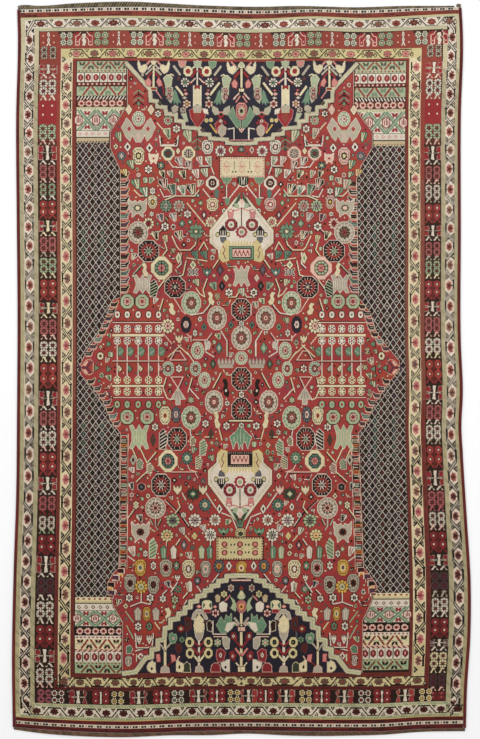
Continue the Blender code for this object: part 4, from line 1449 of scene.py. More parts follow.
# Figures strewn over the red field: (kind, x, y, half width, half height, wools), left half.
# Each is knotted again in mirror image, with some wools changed.
STREWN = rows_of("""
    tree 138.5 98 5 8 green black; leaf 128.7 110 3.6 5.4 cream rose; leaf 151 110 3.6 5.6 cream rose;
    wings 138.5 129 17 12 grey red; pointed 138.5 119 6 7 light_green crimson ivory;
    daisy 158 114 3.4 3.6 ivory black; petal 168 120.5 4.6 4.8 light_green rose crimson;
    daisy 176.5 129 4 4.2 ivory maroon; fan 167 139 7 11 cream green;
    fan 187.5 142 8 12 light_green cream; tree 197.5 143 5.4 8 dark_green green;
    bracket 169 141 9.4 5 ivory black; fan 118.5 142 6 10 green cream; leaf 127.5 147 3.6 4.8 ivory black;
    leaf 149.5 148 3.6 4.8 ivory black; bud 138.5 156 5.8 8.4 cream black yellow;
    petal 121.5 156 4.6 4.8 slate plum ivory; winged 153.5 158.5 4.4 5 cream rose crimson;
    daisy 161 165.5 3.8 4 teal cream; ring 168 153.5 6.6 7 cream teal plum;
    leaf 178 151 2.4 3.6 cream yellow; ring 188.5 153.5 6.6 7 cream grey ivory;
    bud 207.5 147 5.6 7 ivory black rose; petal 220.5 151 5.6 6 ivory crimson slate;
    leaf 231 150 2.6 4 cream black; fan 130.5 169 7 9 green cream; daisy 148.5 169.5 4 4.2 ivory black;
    daisy 138.5 175 2.6 3 rose maroon; fan 124 176 6 7 gold cream; fan 162 178 6 8 cream black;
    fan 170 178 6 8 rose green; fan 179 166 7 9 plum ivory; fan 188.5 169 6 8 black rose;
    fan 182.5 179 7 9 cream black; fan 195.5 178 7 9 ivory rose; fan 204.5 177 7 9 light_green ivory;
    fan 199.5 165 6.4 9 rose ivory; fan 208.5 166 6.4 10 ivory light_green;
    ring 212.5 183 6.4 6.8 ivory maroon ivory; fan 135.5 189 8 10 green cream;
    fan 144 197 8 10 green ivory; daisy 152.5 191 3.2 3.6 ivory slate; fan 163 189 8 10 black rose;
    fan 171.5 195 8 11 dark_green teal; fan 181.5 195 8 10 ivory green; fan 191 195 8 11 black cream;
    bud 152.5 202 4.6 6.6 cream black gold; petal 166 206 6 6.2 green black ivory;
    petal 179 206 6 6.2 grey crimson rose; bud 212.5 204.5 5.8 6.4 cream crimson ivory;
    leaf 200.5 203 2.6 3 green yellow; leaf 198 195.5 2.2 2.4 teal cream;
    winged 137.5 208 9 9 grey dark_green cream; daisy 151.5 214 2.4 2.6 ivory crimson;
    petal 148.5 223.5 5.6 6 cream crimson black; fan 160 221 6 7 plum slate; fan 173 221 6 8 slate ivory;
    daisy 187.5 214 4 4.2 ivory maroon; leaf 204 215 2.8 4.6 plum ivory;
    petal 211 222 5.4 5.6 cream crimson rose; leaf 224 211 2.4 3.2 ivory black;
    daisy 165 226.5 4.4 4.6 ivory black; leaf 182 223.5 3.2 4 teal light_green;
    leaf 190 222 2.6 3 teal cream; star 196 231.5 9 9.4 green dark_green;
    pointed 138 232.5 10 11 grey crimson black; fan 155 240 7 9 cream black;
    fan 178.5 240 7 9 black cream; fan 165 242 5 7 yellow cream;
    dash 148.5 251 10.4 10.6 rose light_green teal; ring 161.5 268 10.6 11.4 cream green pink;
    dash 175 287 10.4 10.6 rose plum light_green; pointed 191.3 303 9.4 11.6 light_green rose crimson;
    pointed 217 318 9.4 12 grey rose crimson; petal 167.7 326 6.6 7.6 cream rose crimson;
    petal 186 324.5 5.4 8.6 navy ivory crimson; tulip 179 339 5.6 6 cream yellow;
    pointed 197.5 350.5 6 8.4 light_green crimson rose; pointed 168 368.6 5.6 7 green ivory crimson;
    daisy 179 368.6 3.4 4.4 ivory crimson; pointed 195.5 368.6 5 7 green ivory crimson;
    pointed 204.5 380 5.6 7.8 light_green crimson rose; arrow 178 396 7 8.4 grey slate;
    pointed 214 402 9 11.6 grey rose crimson; bud 165 415.6 5.6 9 cream yellow crimson;
    petal 176 414.6 4.8 8.4 slate ivory crimson; pointed 191 417.6 9.2 11.6 light_green rose crimson;
    dash 177 439 9.2 11.4 rose grey green; feather 163.5 439 8 20 ivory black;
    beast 139 437 9.4 12 light_green cream; ring 168 461 9.6 11 cream teal pink;
    petal 187 458 5.6 6.4 teal light_green ivory; beast 142.5 284 9 9 grey ivory;
    feather 154 288 8.4 17 light_green black; leaf 178.5 258 3 6 cream green;
    daisy 229 292.5 4 4.4 ivory black; blob 211 298.5 3.6 6.6 cream yellow;
    blob 172 309 3.8 6 cream yellow; blob 145 270 3.4 7 cream rose; leaf 193 265 3.4 4.6 cream green;
    beast 193 272 5 3.4 black ivory; fan 195 259 6.4 8.4 teal green; fan 204 259 6.4 8.4 teal green;
    tulip 207 272 7 6.6 teal ivory; leaf 220 270 3.6 6 plum slate; fan 196 286 6 7 light_green cream;
    fan 213 290 7 8 light_green teal; leaf 222 286 3 5 black slate; leaf 226 278 2.8 4 cream green;
    daisy 195 333 2.6 4 ivory brown; leaf 204 327 2.6 4 teal black; leaf 231 325 2.6 4 teal black;
    leaf 219 348 3.6 6 teal light_green; feather 208 345 5 8 ivory dark_green;
    comb 226 363 7 5 grey; leaf 213 364 3 5 dark_green green; blob 226 388 3.4 9 black ivory;
    blob 217 420 3.4 9 cream yellow; daisy 205.5 423.6 3.8 4.2 ivory maroon;
    daisy 226.5 426 3.8 4.2 ivory maroon; daisy 155 427 3.8 4 ivory maroon;
    daisy 191 400 3 3.4 light_green cream; leaf 153 440 2.4 6 dark_green maroon;
    leaf 211 434 2.4 5 dark_green maroon; feather 193 441 5 9 black cream;
    feather 203.5 447 7 16 dark_green light_green; feather 199 462 6 13 cream dark_green;
    feather 140 464 6 10 light_green black; feather 150 468 6 10 dark_green cream;
    leaf 133 460 3.4 6 grey brown; fan 131 490 5 8 ivory black; hexa 141.5 487 3.4 4 black slate;
    dash 161 485 9.4 11 rose ivory slate; star 193 494 8 7.4 dark_green green;
    tulip 177.5 490 6.4 7 cream ivory; tulip 203 490 6.4 7 cream ivory; leaf 148 496 2.4 3 cream brown;
    daisy 136 505 3 4.4 cream grey; pointed 155.5 508 10 10.4 grey maroon rose;
    petal 205 505 6 6.4 teal light_green rose; leaf 191 507 2.6 4 ivory black;
    leaf 219.5 509 3 5 ivory black; daisy 183.5 515 2.8 3 ivory slate;
    petal 173 520.6 6.8 7 light_green plum teal; petal 195 520.4 6.6 7 ivory slate rose;
    petal 215 520 5.8 6 ivory crimson light_green; fan 139.5 522 6 8 ivory black;
    winged 140.5 532 8.8 10.4 grey maroon black; petal 167 535.4 6.4 6.4 yellow gold rose;
    fan 182 535 6 8 grey ivory; leaf 194.5 536 3 4 yellow gold; fan 203 531 5 6 slate ivory;
    petal 210.5 535 6.2 7 ivory dark_green ivory; tulip 223.6 531.6 8.4 6.4 green light_green;
    leaf 223.6 533.8 1.4 1.2 black black; feather 153.5 548 7.6 20 dark_green light_green;
    pod 163.5 552 3 6.6 green light_green; pod 173.5 552 3 6.6 ivory grey;
    pod 201.5 552 3 6.6 light_green cream; pod 209.5 552 3 6.6 green teal; leaf 184 545 3 5.4 slate rose;
    fan 132 556 7 10 ivory rose; daisy 145.5 553.6 2.6 4 ivory black; leaf 141 549 2.2 2.4 green cream;
    bud 140.6 567.6 5.4 8 gold yellow slate; daisy 153.5 565.6 3 4.6 ivory crimson;
    bud 166 568 6 8.4 grey crimson black; daisy 176.6 565.6 3.2 4.6 green rose;
    bud 188.6 569 6.2 9 cream maroon ivory; bud 205.6 569 5 8 grey rose green;
    petal 219 566 5.6 7 slate gold crimson; leaf 229 566 3 5 ivory brown;
    bud 130.5 583 5.8 8.8 grey maroon black; bud 153.6 584.6 5.8 8.8 grey brown maroon;
    petal 141.4 586.6 6.4 7 gold yellow green; petal 178 589 3.8 4 green ivory crimson;
    daisy 197.4 580.6 3.4 4 slate ivory; tulip 177.5 578 4 5 ivory black;
    pod 189.6 586 2.6 5.6 ivory black; fan 167.6 587 5 6 slate black; daisy 129.6 597.6 4 4.4 ivory black;
    daisy 150.4 597.6 4 4.4 ivory black; daisy 163 598.6 3.6 3.8 ivory slate;
    daisy 175 599.6 3.6 4.4 light_green crimson; pod 138 613.6 3.6 6.6 grey ivory;
    bud 147 613.6 3.6 6.6 gold yellow slate; pod 156 613.6 3.6 6.6 grey rose;
    blob 169 615.6 4.6 8 cream yellow; daisy 138.6 626 3.6 4.6 ivory black;
    daisy 149.4 626 3.2 4.2 green crimson; bracket 144.6 640 9 7 ivory black;
    tulip 139.5 639 4 7 ivory black; tulip 149.5 639 4 7 ivory black;
    feather 130 648.6 6 8 green dark_green; bud 129 660 3 5 ivory black cream;
    leaf 141 655.6 3.4 4 ivory crimson
""")
# Figures on the centre line: (kind, x, y, half width, half height, wools)
SINGLE = rows_of("""
    dash 241.4 309.5 9.6 10.6 rose grey teal; pointed 241.4 338 9.8 12 grey rose crimson;
    dash 241.4 379 9.6 11.4 rose plum green; dash 241.4 410 9.8 11.6 rose grey teal;
    pointed 241.4 358 6 6.4 light_green crimson rose; daisy 241.4 394.5 3.2 3.6 ivory maroon;
    daisy 241.4 323.5 3 3.2 ivory teal; beast 241.4 276 8 10 grey light_green;
    fan 241.4 296 6 8 light_green ivory; plate 241 420.8 12 0.9 cream yellow;
    shield 240.6 436.4 11 13 green light_green; daisy 241.4 425.5 3.2 3 ivory brown;
    bud 240.6 533.8 5.2 5.2 yellow black dark_green; bell 240.2 524 3 3.4 green teal;
    bud 241.4 568 5 6.4 gold cream crimson; daisy 241.4 149.5 3.6 3 teal cream;
    fan 241.4 186.5 7 8 green ivory
""")
# Stems between the figures: wool, then the points of the line
STEMS = rows_of("""
    cream 157 123 165 132; ivory 159.5 136 160.6 145 174 145 178 137;
    ivory 168 160 173 167 187 168 191 163; ivory 199.5 166 211 166 214 174; ivory 203 189 211 199;
    cream 187 203 206 226; cream 134 190 140 196 146 196; ivory 160 189 164 197 171 196;
    cream 165 200 175 196 195 196 199 190; rose 163 228 157 234 150 234; cream 163 236 167 250 161 258;
    cream 172 236 177 247 180 250 190 250 195 245 197 238; cream 199 250 204 242 208 250;
    cream 187 258 207 261; ivory 181 253 181 264 177 268; cream 207 279 203 290 205 297;
    cream 219 259 213 268; light_green 145 261 134 273 132 277; cream 165 279 157 290;
    cream 186 261 183 275 177 277; rose 174 298 182 311 186 314; ivory 191 315 203 313 208 307 210 304;
    cream 163 299 159 312 160 319; rose 187 334 193 340 207 340 212 333; cream 196 288 200 294 205 297;
    cream 228 297 236 297 240 290; rose 163 333 172 344; rose 174 333 181 343; cream 181 345 168 357;
    cream 178 345 191 357; ivory 221 331 227 341 227 356; ivory 205 341 206 352 214 357;
    rose 191 341 191 336; rose 170 360 186 360 180 351 175 351 170 360; cream 194 362 187 352;
    rose 171 377 183 377 178 388 171 377; cream 192 378 188 392; ivory 189 388 199 399;
    cream 221 373 213 388; cream 166 378 163 388 167 398 171 400; cream 214 413 216 420;
    cream 219 429 222 440; ivory 190 429 191 436; ivory 171 452 158 466; cream 140 448 147 463 156 452;
    rose 187 464 190 470 197 472; cream 131 446 138 462 143 468; cream 148 471 142 476 136 482;
    rose 171 472 195 472 198 478; cream 213 437 205 437; cream 167 449 162 455; ivory 206 493 216 508;
    ivory 182 493 186 500; cream 128 518 135 508; ivory 165 500 181 515 189 526;
    black 166 500 178 512 188 527; cream 165 517 174 515 180 507 178 501;
    grey 155.5 518 155.5 526 158 530; light_green 150 519 153 525; light_green 161 519 158 525;
    ivory 222 513 232 517 237 529; ivory 176 545 180 539; rose 166.6 542 166.6 546; cream 184 534 190 541;
    ivory 210.6 542 210.6 546; ivory 128 556 135 561; black 217.6 575 210 585 206 587;
    ivory 218.6 574 211 584 206 588; ivory 167 581 173 589 172 595; ivory 167 590 160 597;
    ivory 177.6 582 171 592; cream 186 583 188 592 183 598; ivory 197 586 202 593; ivory 187 600 180 612;
    ivory 141.4 594 141.4 602 131 606; ivory 141.4 602 150 604 152 601; light_green 126 611 134 622;
    light_green 127 625 134 638; cream 155 622 160 629; ivory 136 650 152 646; cream 137 654 137 660
""")
CHANGED = {"cream": "rose", "teal": "green", "green": "light_green", "slate": "plum"}


def daisy(chart, rx, ry, wool, heart):
    """Six round petals on a dark ground."""
    chart.poly(octagon(rx * 1.05, ry * 1.05), "brown")
    for x, y in around(6, 1.0, math.pi / 6):
        chart.disc(x * rx * 0.64, y * ry * 0.64, rx * 0.31, ry * 0.31, wool, 6)
    chart.disc(0, 0, rx * 0.36, ry * 0.36, heart, 6)
    chart.disc(0, 0, rx * 0.15, ry * 0.15, wool, 4)


def star(chart, rx, ry, wool, heart):
    """Eight-pointed star of diamonds."""
    for turn in (45, 135):
        lean = math.radians(turn)
        for way in (-1, 1):
            x, y = way * math.cos(lean) * rx * 0.55, way * math.sin(lean) * ry * 0.55
            inked(chart, diamond(x, y, rx * 0.34, ry * 0.34), wool, "black", 0.9)
    inked(chart, diamond(0, 0, rx, ry * 0.36), wool, "black", 0.9)
    inked(chart, diamond(0, 0, rx * 0.36, ry), wool, "black", 0.9)
    chart.poly(diamond(0, 0, rx * 0.4, ry * 0.4), heart)
    chart.poly(diamond(0, 0, rx * 0.2, ry * 0.2), "cream")


def leaf(chart, rx, ry, wool, heart):
    """Upright diamond with a small one inside."""
    inked(chart, diamond(0, 0, rx, ry), wool, "black", 0.9)
    chart.poly(diamond(0, 0, rx * 0.42, ry * 0.5), heart)


def hexa(chart, rx, ry, wool, heart):
    """Six-sided bead."""
    inked(chart, pointed(rx, ry), wool, "rose", 0.8)
    chart.poly(octagon(rx * 0.4, ry * 0.4), heart)


def pod(chart, rx, ry, wool, heart):
    """Seed pod with two ribs."""
    shape = scaled("-1 -0.5 0 -1 1 -0.5 0.8 1 -0.6 1", rx, ry)
    inked(chart, shape, wool, "black", 1.0)
    chart.line([(-rx * 0.3, -ry * 0.5), (-rx * 0.3, ry * 0.8)], heart, 0.6)
    chart.line([(rx * 0.35, -ry * 0.5), (rx * 0.35, ry * 0.8)], "ivory", 0.5)


def wings(chart, rx, ry, wool, heart):
    """Spread wings over a double tail."""
    shape = scaled(
        "-1 -0.1 -0.7 -0.9 -0.45 -0.5 -0.2 0.1 0.2 0.1 0.45 -0.5 0.7 -0.9 1 -0.1 0.72 0.7 0.5 1 0.36 "
        "0.5 0.14 1.1 -0.14 1.1 -0.36 0.5 -0.5 1 -0.72 0.7",
        rx, ry,
    )
    inked(chart, shape, wool, "ivory", 0.8)
    for way in (-1, 1):
        inked(chart, diamond(way * rx * 0.55, 0, 2.2, 3.0), heart, "ivory", 0.6)
        chart.line([(way * rx * 0.8, ry * 0.3), (way * rx * 0.5, ry * 0.7)], "light_green", 1.0)
    for x in (-1.4, 0, 1.4):
        chart.line([(x, ry * 0.35), (x, ry)], "rose", 0.5)


def bracket(chart, rx, ry, wool, heart):
    """Stem that turns up at both ends."""
    for way in (-1, 1):
        branch(chart, [(way * rx, -ry), (way * rx * 0.86, ry), (0, ry)], wool)
        chart.line(
            [(way * rx * 0.6, -ry * 0.6), (way * rx * 0.86, -ry * 0.1), (way * rx * 0.6, ry * 0.4)],
            heart, 0.9,
        )


def tree(chart, rx, ry, wool, heart):
    """Upright stem with slanting branches."""
    chart.line([(0, -ry), (0, ry)], "black", 1.2)
    for number in range(4):
        y = -ry * 0.9 + number * ry * 0.45
        for side in (-1, 1):
            chart.line([(0, y), (side * rx, y + ry * 0.45)], heart if number % 2 else wool, 1.1)
    inked(chart, diamond(0, ry * 0.75, 1.6, 2.4), wool, "black", 0.7)


def arrow(chart, rx, ry, wool, heart):
    """Broad arrowhead on a foot."""
    inked(
        chart, scaled("0 -1 1 0.35 0.3 0.35 0.3 1 -0.3 1 -0.3 0.35 -1 0.35", rx, ry), wool, "ivory", 0.9,
    )
    for x in (-0.5, 0, 0.5):
        chart.line([(x * rx, ry * 0.3), (x * rx * 0.5, -ry * 0.5)], heart, 0.5)


def beast(chart, rx, ry, wool, heart):
    """Two curled lobes beside a spine."""
    lobe = places("-1 -0.92 -0.72 -1 -0.3 -0.42 -0.26 0.42 -0.72 1 -1 0.92 -0.72 0.24 -0.72 -0.24")
    spine = places("0 -1 0.3 -0.5 0.34 0.5 0 1 -0.34 0.5 -0.3 -0.5")
    shapes = [scaled(lobe, rx, ry), scaled(lobe, -rx, ry), scaled(spine, rx, ry)]
    for shape in shapes:
        chart.outline(shape, "ivory", 1.0)
    for shape in shapes:
        chart.poly(shape, wool)
    for x in (-0.56, -0.3, 0.0, 0.3, 0.56):
        chart.line([(x * rx, -ry * 0.5), (x * rx * 0.9, 0), (x * rx, ry * 0.5)], heart, 0.5)


def blob(chart, rx, ry, wool, heart):
    """Bent drop."""
    shape = scaled("-1 -0.9 0 -1 0.5 -0.5 0.3 0 1 0.5 0.6 1 -0.4 0.8 -0.8 0.1 -0.4 -0.3", rx, ry)
    inked(chart, shape, wool, "brown", 0.7)
    chart.disc(0, ry * 0.3, rx * 0.3, ry * 0.18, heart, 5)


def eye(chart, rx, ry, wool, heart, core):
    """Octagons inside each other."""
    chart.poly(octagon(rx * 1.1, ry * 1.1), "black")
    chart.poly(octagon(rx, ry), wool)
    chart.poly(octagon(rx * 0.5, ry * 0.5), heart)
    chart.disc(0, 0, rx * 0.18, ry * 0.18, core, 4)


def plate(chart, rx, ry, wool, heart):
    """Low striped box."""
    inked(chart, scaled("-1 -1 1 -1 1 1 -1 1", rx, ry), wool, "black", 1.4)
    chart.line([(-rx * 0.4, -ry * 0.7), (-rx * 0.4, ry * 0.7)], heart, 0.5)


def bell(chart, rx, ry, wool, heart):
    """Bell with four stripes."""
    shape = scaled("-0.3 -1 0.3 -1 1 0.2 1 0.6 0.4 1 -0.4 1 -1 0.6 -1 0.2", rx, ry)
    inked(chart, shape, wool, "black", 1.0)
    for x in (-0.55, -0.2, 0.2, 0.55):
        chart.line([(x * rx * 0.4, -ry * 0.7), (x * rx, ry * 0.7)], heart, 0.8)


def shield(chart, rx, ry, wool, heart):
    """Pointed shield with short feet."""
    side = places("0 -1 0.34 -0.45 1 0.05 0.8 0.5 0.66 0.95 0.44 0.4 0.2 0.5 0.16 1 0 0.6")
    shape = scaled(side, rx, ry) + scaled(side[::-1], -rx, ry)
    inked(chart, shape, wool, "ivory", 0.9)
    for x in (-0.6, -0.3, 0.0, 0.3, 0.6):
        chart.line([(x * rx, ry * (abs(x) - 0.55)), (x * rx, ry * 0.42)], heart, 0.8)


def twig(chart, rx, ry, wool, heart):
    """Small bent stem with a leaf."""
    branch(chart, scaled("-1 -1 -0.2 0.5 1.2 0.5", rx, ry), wool, 0.5)
    inked(chart, diamond(0, 0, rx * 0.9 / 2, ry * 0.9 / 2), heart, "black", 0.9)


def comb(chart, rx, ry, wool):
    """Row of diamonds on a bar."""
    chart.box(-rx, ry * 0.2, rx, ry, wool)
    for step in range(5):
        x = -rx + rx * 0.5 * step
        inked(chart, diamond(x, -ry * 0.2, 1.4, ry * 0.8), wool, "slate", 0.6)


FIGURES = {
    "dash": dash_ring, "ring": broad_ring, "pointed": pointed_ring, "petal": petal_ring, "bud": bud,
    "winged": winged_bud, "daisy": daisy, "star": star, "leaf": leaf, "hexa": hexa, "pod": pod,
    "wings": wings, "bracket": bracket, "fan": fan, "feather": feather, "tulip": tulip, "tree": tree,
    "arrow": arrow, "beast": beast, "blob": blob, "eye": eye, "beads": beads, "plate": plate,
    "bell": bell, "shield": shield, "twig": twig, "comb": comb,
}


def figure(chart, kind, rx, ry, wools):
    FIGURES[kind](chart, rx, ry, *wools)


def paint_stems(chart, rows, width=None):
    """Stems and their mirror images; without a width, each row has its own before its points."""
    for wool, *numbers in rows:
        thick = width or float(numbers.pop(0))
        for place, flip in both_sides(0):
            chart.at(place, 0, flip=flip)
            branch(chart, pairs(numbers), wool, thick)


def paint_pairs(chart, rows):
    """Each figure of the left half, and its mirror image with some wools changed."""
    for kind, *sizes in rows:
        x, y, rx, ry = (float(size) for size in sizes[:4])
        for place, flip in both_sides(x):
            wools = sizes[4:]
            if flip and int(x + y) % 3 == 0:
                wools = [CHANGED.get(wool, wool) for wool in wools]
            chart.at(place, y, flip=flip)
            figure(chart, kind, rx, ry, wools)


def paint_singles(chart, rows):
    for kind, x, y, rx, ry, *wools in rows:
        chart.at(float(x), float(y))
        figure(chart, kind, float(rx), float(ry), wools)


def paint_field_figures(chart):
    paint_stems(chart, STEMS, 0.8)
    paint_pairs(chart, STREWN)
    paint_singles(chart, SINGLE)


# Small fillers of the bare ground: kind and wools
FILLERS = rows_of("""
    fan green cream; daisy ivory black; leaf cream black; fan black cream; pod light_green green;
    daisy rose maroon; petal teal cream crimson; fan ivory rose; petal ivory crimson black;
    daisy teal cream; fan cream green; leaf black ivory; petal light_green rose black;
    bud cream maroon yellow; twig cream teal; twig ivory plum; twig cream rose
""")


def fill_bare_ground(chart):
    """Small figures, then single knots, wherever the red ground is still bare."""
    rng = np.random.default_rng(11)
    red = WOOL["red"]
    for reach, pitch in ((3.6, 3.6), (2.6, 3.0), (1.5, 3.0)):
        span = int(reach * KNOTS)
        number = 0
        for y in np.arange(66.0, 668.0, pitch):
            for x in np.arange(84.0, 400.0, pitch):
                px, py = x + rng.uniform(-1.4, 1.4), y + rng.uniform(-1.4, 1.4)
                col, row = int(px * KNOTS), int(py * KNOTS)
                if np.any(chart.cells[row - span:row + span + 1, col - span:col + span + 1] != red):
                    continue
                number += 1
                chart.at(px, py, flip=rng.random() < 0.5)
                if reach > 2:
                    kind, *wools = FILLERS[int(rng.integers(0, len(FILLERS)))]
                    size = reach - 0.7
                    if kind == "twig":
                        figure(chart, kind, size * 1.2, size * 1.2, wools)
                    elif kind == "fan":
                        chart.at(px, py + size, flip=rng.random() < 0.5)
                        figure(chart, kind, size * 1.9, size * 2.1, wools)
                    else:
                        figure(chart, kind, size * 0.86, size, wools)
                elif rng.random() < 0.6:
                    inked(
                        chart, diamond(0, 0, 0.9, 1.1),
                        ("slate", "brown", "rose", "teal", "cream")[number % 5],
                        "maroon" if number % 2 else "black", 0.6,
                    )


def paint_flat_ends(chart):
    """Flat-woven stripes beyond the pile, top and bottom."""
    rng = np.random.default_rng(21)
    k = KNOTS
    for y0, y1, wools in (
        (0, 18, ("rust", "maroon", "rust", "brown")),
        (718, HEIGHT, ("maroon", "brown", "crimson", "maroon")),
    ):
        rows, cols = (y1 - y0) * k, WIDTH * k
        streak = np.repeat(rng.integers(0, 4, (rows, cols // 24 + 1)), 24, axis=1)[:, :cols]
        fleck = rng.integers(0, 4, (rows, cols))
        pick = np.where(rng.random((rows, cols)) < 0.35, fleck, streak)
        chart.cells[y0 * k:y1 * k] = np.array([WOOL[name] for name in wools], dtype=np.uint8)[pick]
    for y0, y1 in ((8.6, 12.6), (723.2, 727.0)):
        chart.fixed().box(0, y0, WIDTH, y1, "ivory")
        middle = (y0 + y1) / 2
        x = 21.0
        number = 0
        while x < 460:
            for way in (-1.3, 1.3):
                chart.box(x + way * 1.05 - 1.1, middle - 1.3, x + way * 1.05 + 1.1, middle + 1.3, "black")
            chart.box(x + 4.1, middle - 1.2, x + 4.7, middle + 1.2, "crimson" if number % 2 else "earth")
            x += 8.8
            number += 1


def vary_red(chart):
    """Changing dye lots: bands of pinker and of more orange red across the field."""
    rng = np.random.default_rng(8)
    rows, cols = chart.cells.shape
    drift = np.cumsum(rng.normal(0, 1, rows))
    drift -= np.convolve(drift, np.ones(161) / 161, mode="same")
    drift /= max(float(np.abs(drift).max()), 1e-6)
    patch = np.kron(rng.random((rows // 12 + 1, cols // 40 + 1)), np.ones((12, 40)))[:rows, :cols]
    pick = drift[:, None] * 1.2 + (patch - 0.5) * 0.7 + (rng.random((rows, cols)) - 0.5) * 0.7
    red = chart.cells == WOOL["red"]
    chart.cells[red & (pick > 0.28)] = WOOL["madder"]
    chart.cells[red & (pick < -0.34)] = WOOL["brick"]


def paint_chart():
    chart = Chart()
    paint_flat_ends(chart)
    paint_rings(chart)
    paint_outer_vines(chart)
    paint_main_border(chart)
    paint_inner_vines(chart)
    paint_ground(chart)
    paint_teeth(chart)
    paint_field_figures(chart)
    paint_comb_rows(chart)
    paint_vases(chart)
    paint_top_spandrel(chart)
    paint_bottom_spandrel(chart)
    fill_bare_ground(chart)
    vary_red(chart)
    return chart.cells


# The cloth: the chart's squares carried onto the outline of the CAD model

UNIT = 0.00357                # metres to one drawing unit
CENTRE = (241.45, 369.45)     # drawing units at the rug's origin
CELL = 3                      # drawing units to one face of the mesh
SPAN = CELL * KNOTS           # knots to one face
BODY = (19, 9, 460, 732)      # woven body in drawing units
PILE_ROWS = (18, 717)         # first and last row of the pile
CLOTH_END = 1.29              # metres from the middle of the rug to its plaits
PILE_HEIGHT = 0.0080
WEAVE_HEIGHT = 0.0035
SELVEDGE_WIDTH = 0.0110
SELVEDGE_HEIGHT = 0.0075
TASSEL_WIDTH = 0.0200
GAP = 0.0004                  # between the cloth and what is sewn to it
PLAIT_HEIGHT = 0.0058         # of a plait as wide as the next number
PLAIT_WIDTH = 0.016
BASE = 32                     # wool numbers are packed in this base
DIGITS = 4                    # wool numbers in one stored number
STORED = SPAN * SPAN // DIGITS  # stored numbers to one face

# Outlines in metres, as in the CAD model: (height on the rug, place) for the sides,
# (place across the rug, height or width) for the ends
LEFT_SIDE = [
    (-1.290, -0.817), (-1.050, -0.820), (-0.720, -0.814), (-0.450, -0.805), (-0.150, -0.802),
    (0.200, -0.800), (0.550, -0.803), (0.900, -0.805), (1.210, -0.799), (1.300, -0.802),
]
RIGHT_SIDE = [
    (-1.290, 0.802), (-1.140, 0.806), (-0.950, 0.818), (-0.760, 0.819), (-0.540, 0.806), (-0.300, 0.791),
    (-0.200, 0.786), (-0.090, 0.791), (0.100, 0.784), (0.500, 0.784), (0.900, 0.784), (1.210, 0.791),
    (1.300, 0.786),
]
TOP_WEFT = [
    (-0.820, 1.284), (-0.600, 1.290), (-0.400, 1.294), (-0.150, 1.288), (0.070, 1.281), (0.270, 1.286),
    (0.420, 1.283), (0.630, 1.290), (0.820, 1.294),
]
BOTTOM_WEFT = [
    (-0.820, -1.276), (-0.730, -1.284), (-0.600, -1.292), (-0.430, -1.298), (-0.150, -1.291),
    (0.030, -1.290), (0.350, -1.293), (0.500, -1.292), (0.630, -1.284), (0.820, -1.280),
]
TOP_STRIPES = [(-0.820, 0.029), (0.000, 0.030), (0.250, 0.025), (0.450, 0.028), (0.820, 0.021)]
BOTTOM_STRIPES = [(-0.820, 0.040), (-0.450, 0.045), (0.450, 0.047), (0.820, 0.046)]
TOP_PLAIT = [
    (-0.820, 0.010), (-0.780, 0.017), (-0.740, 0.013), (-0.600, 0.018), (-0.400, 0.020), (-0.270, 0.016),
    (-0.150, 0.013), (0.000, 0.014), (0.150, 0.015), (0.280, 0.011), (0.550, 0.011), (0.700, 0.007),
    (0.820, 0.006),
]
BOTTOM_PLAIT = [
    (-0.820, 0.009), (-0.730, 0.014), (-0.450, 0.016), (-0.270, 0.013), (-0.130, 0.016), (0.020, 0.011),
    (0.150, 0.016), (0.500, 0.013), (0.660, 0.011), (0.820, 0.012),
]
CENTRING = (0.00035, -0.00015)  # moves the rug's box onto the origin, in metres


def along(table, position):
    """Smooth values of a two-column table, the same curve as in the CAD model."""
    points = np.array(table)
    place = np.asarray(position, dtype=float)
    slopes = np.gradient(points[:, 1], points[:, 0])
    row = np.clip(np.searchsorted(points[:, 0], place) - 1, 0, len(points) - 2)
    span = points[row + 1, 0] - points[row, 0]
    share = (place - points[row, 0]) / span
    start = (1 + 2 * share) * (1 - share) ** 2 * points[row, 1]
    leave = share * (1 - share) ** 2 * span * slopes[row]
    end = share ** 2 * (3 - 2 * share) * points[row + 1, 1]
    arrive = share ** 2 * (share - 1) * span * slopes[row + 1]
    return start + leave + end + arrive


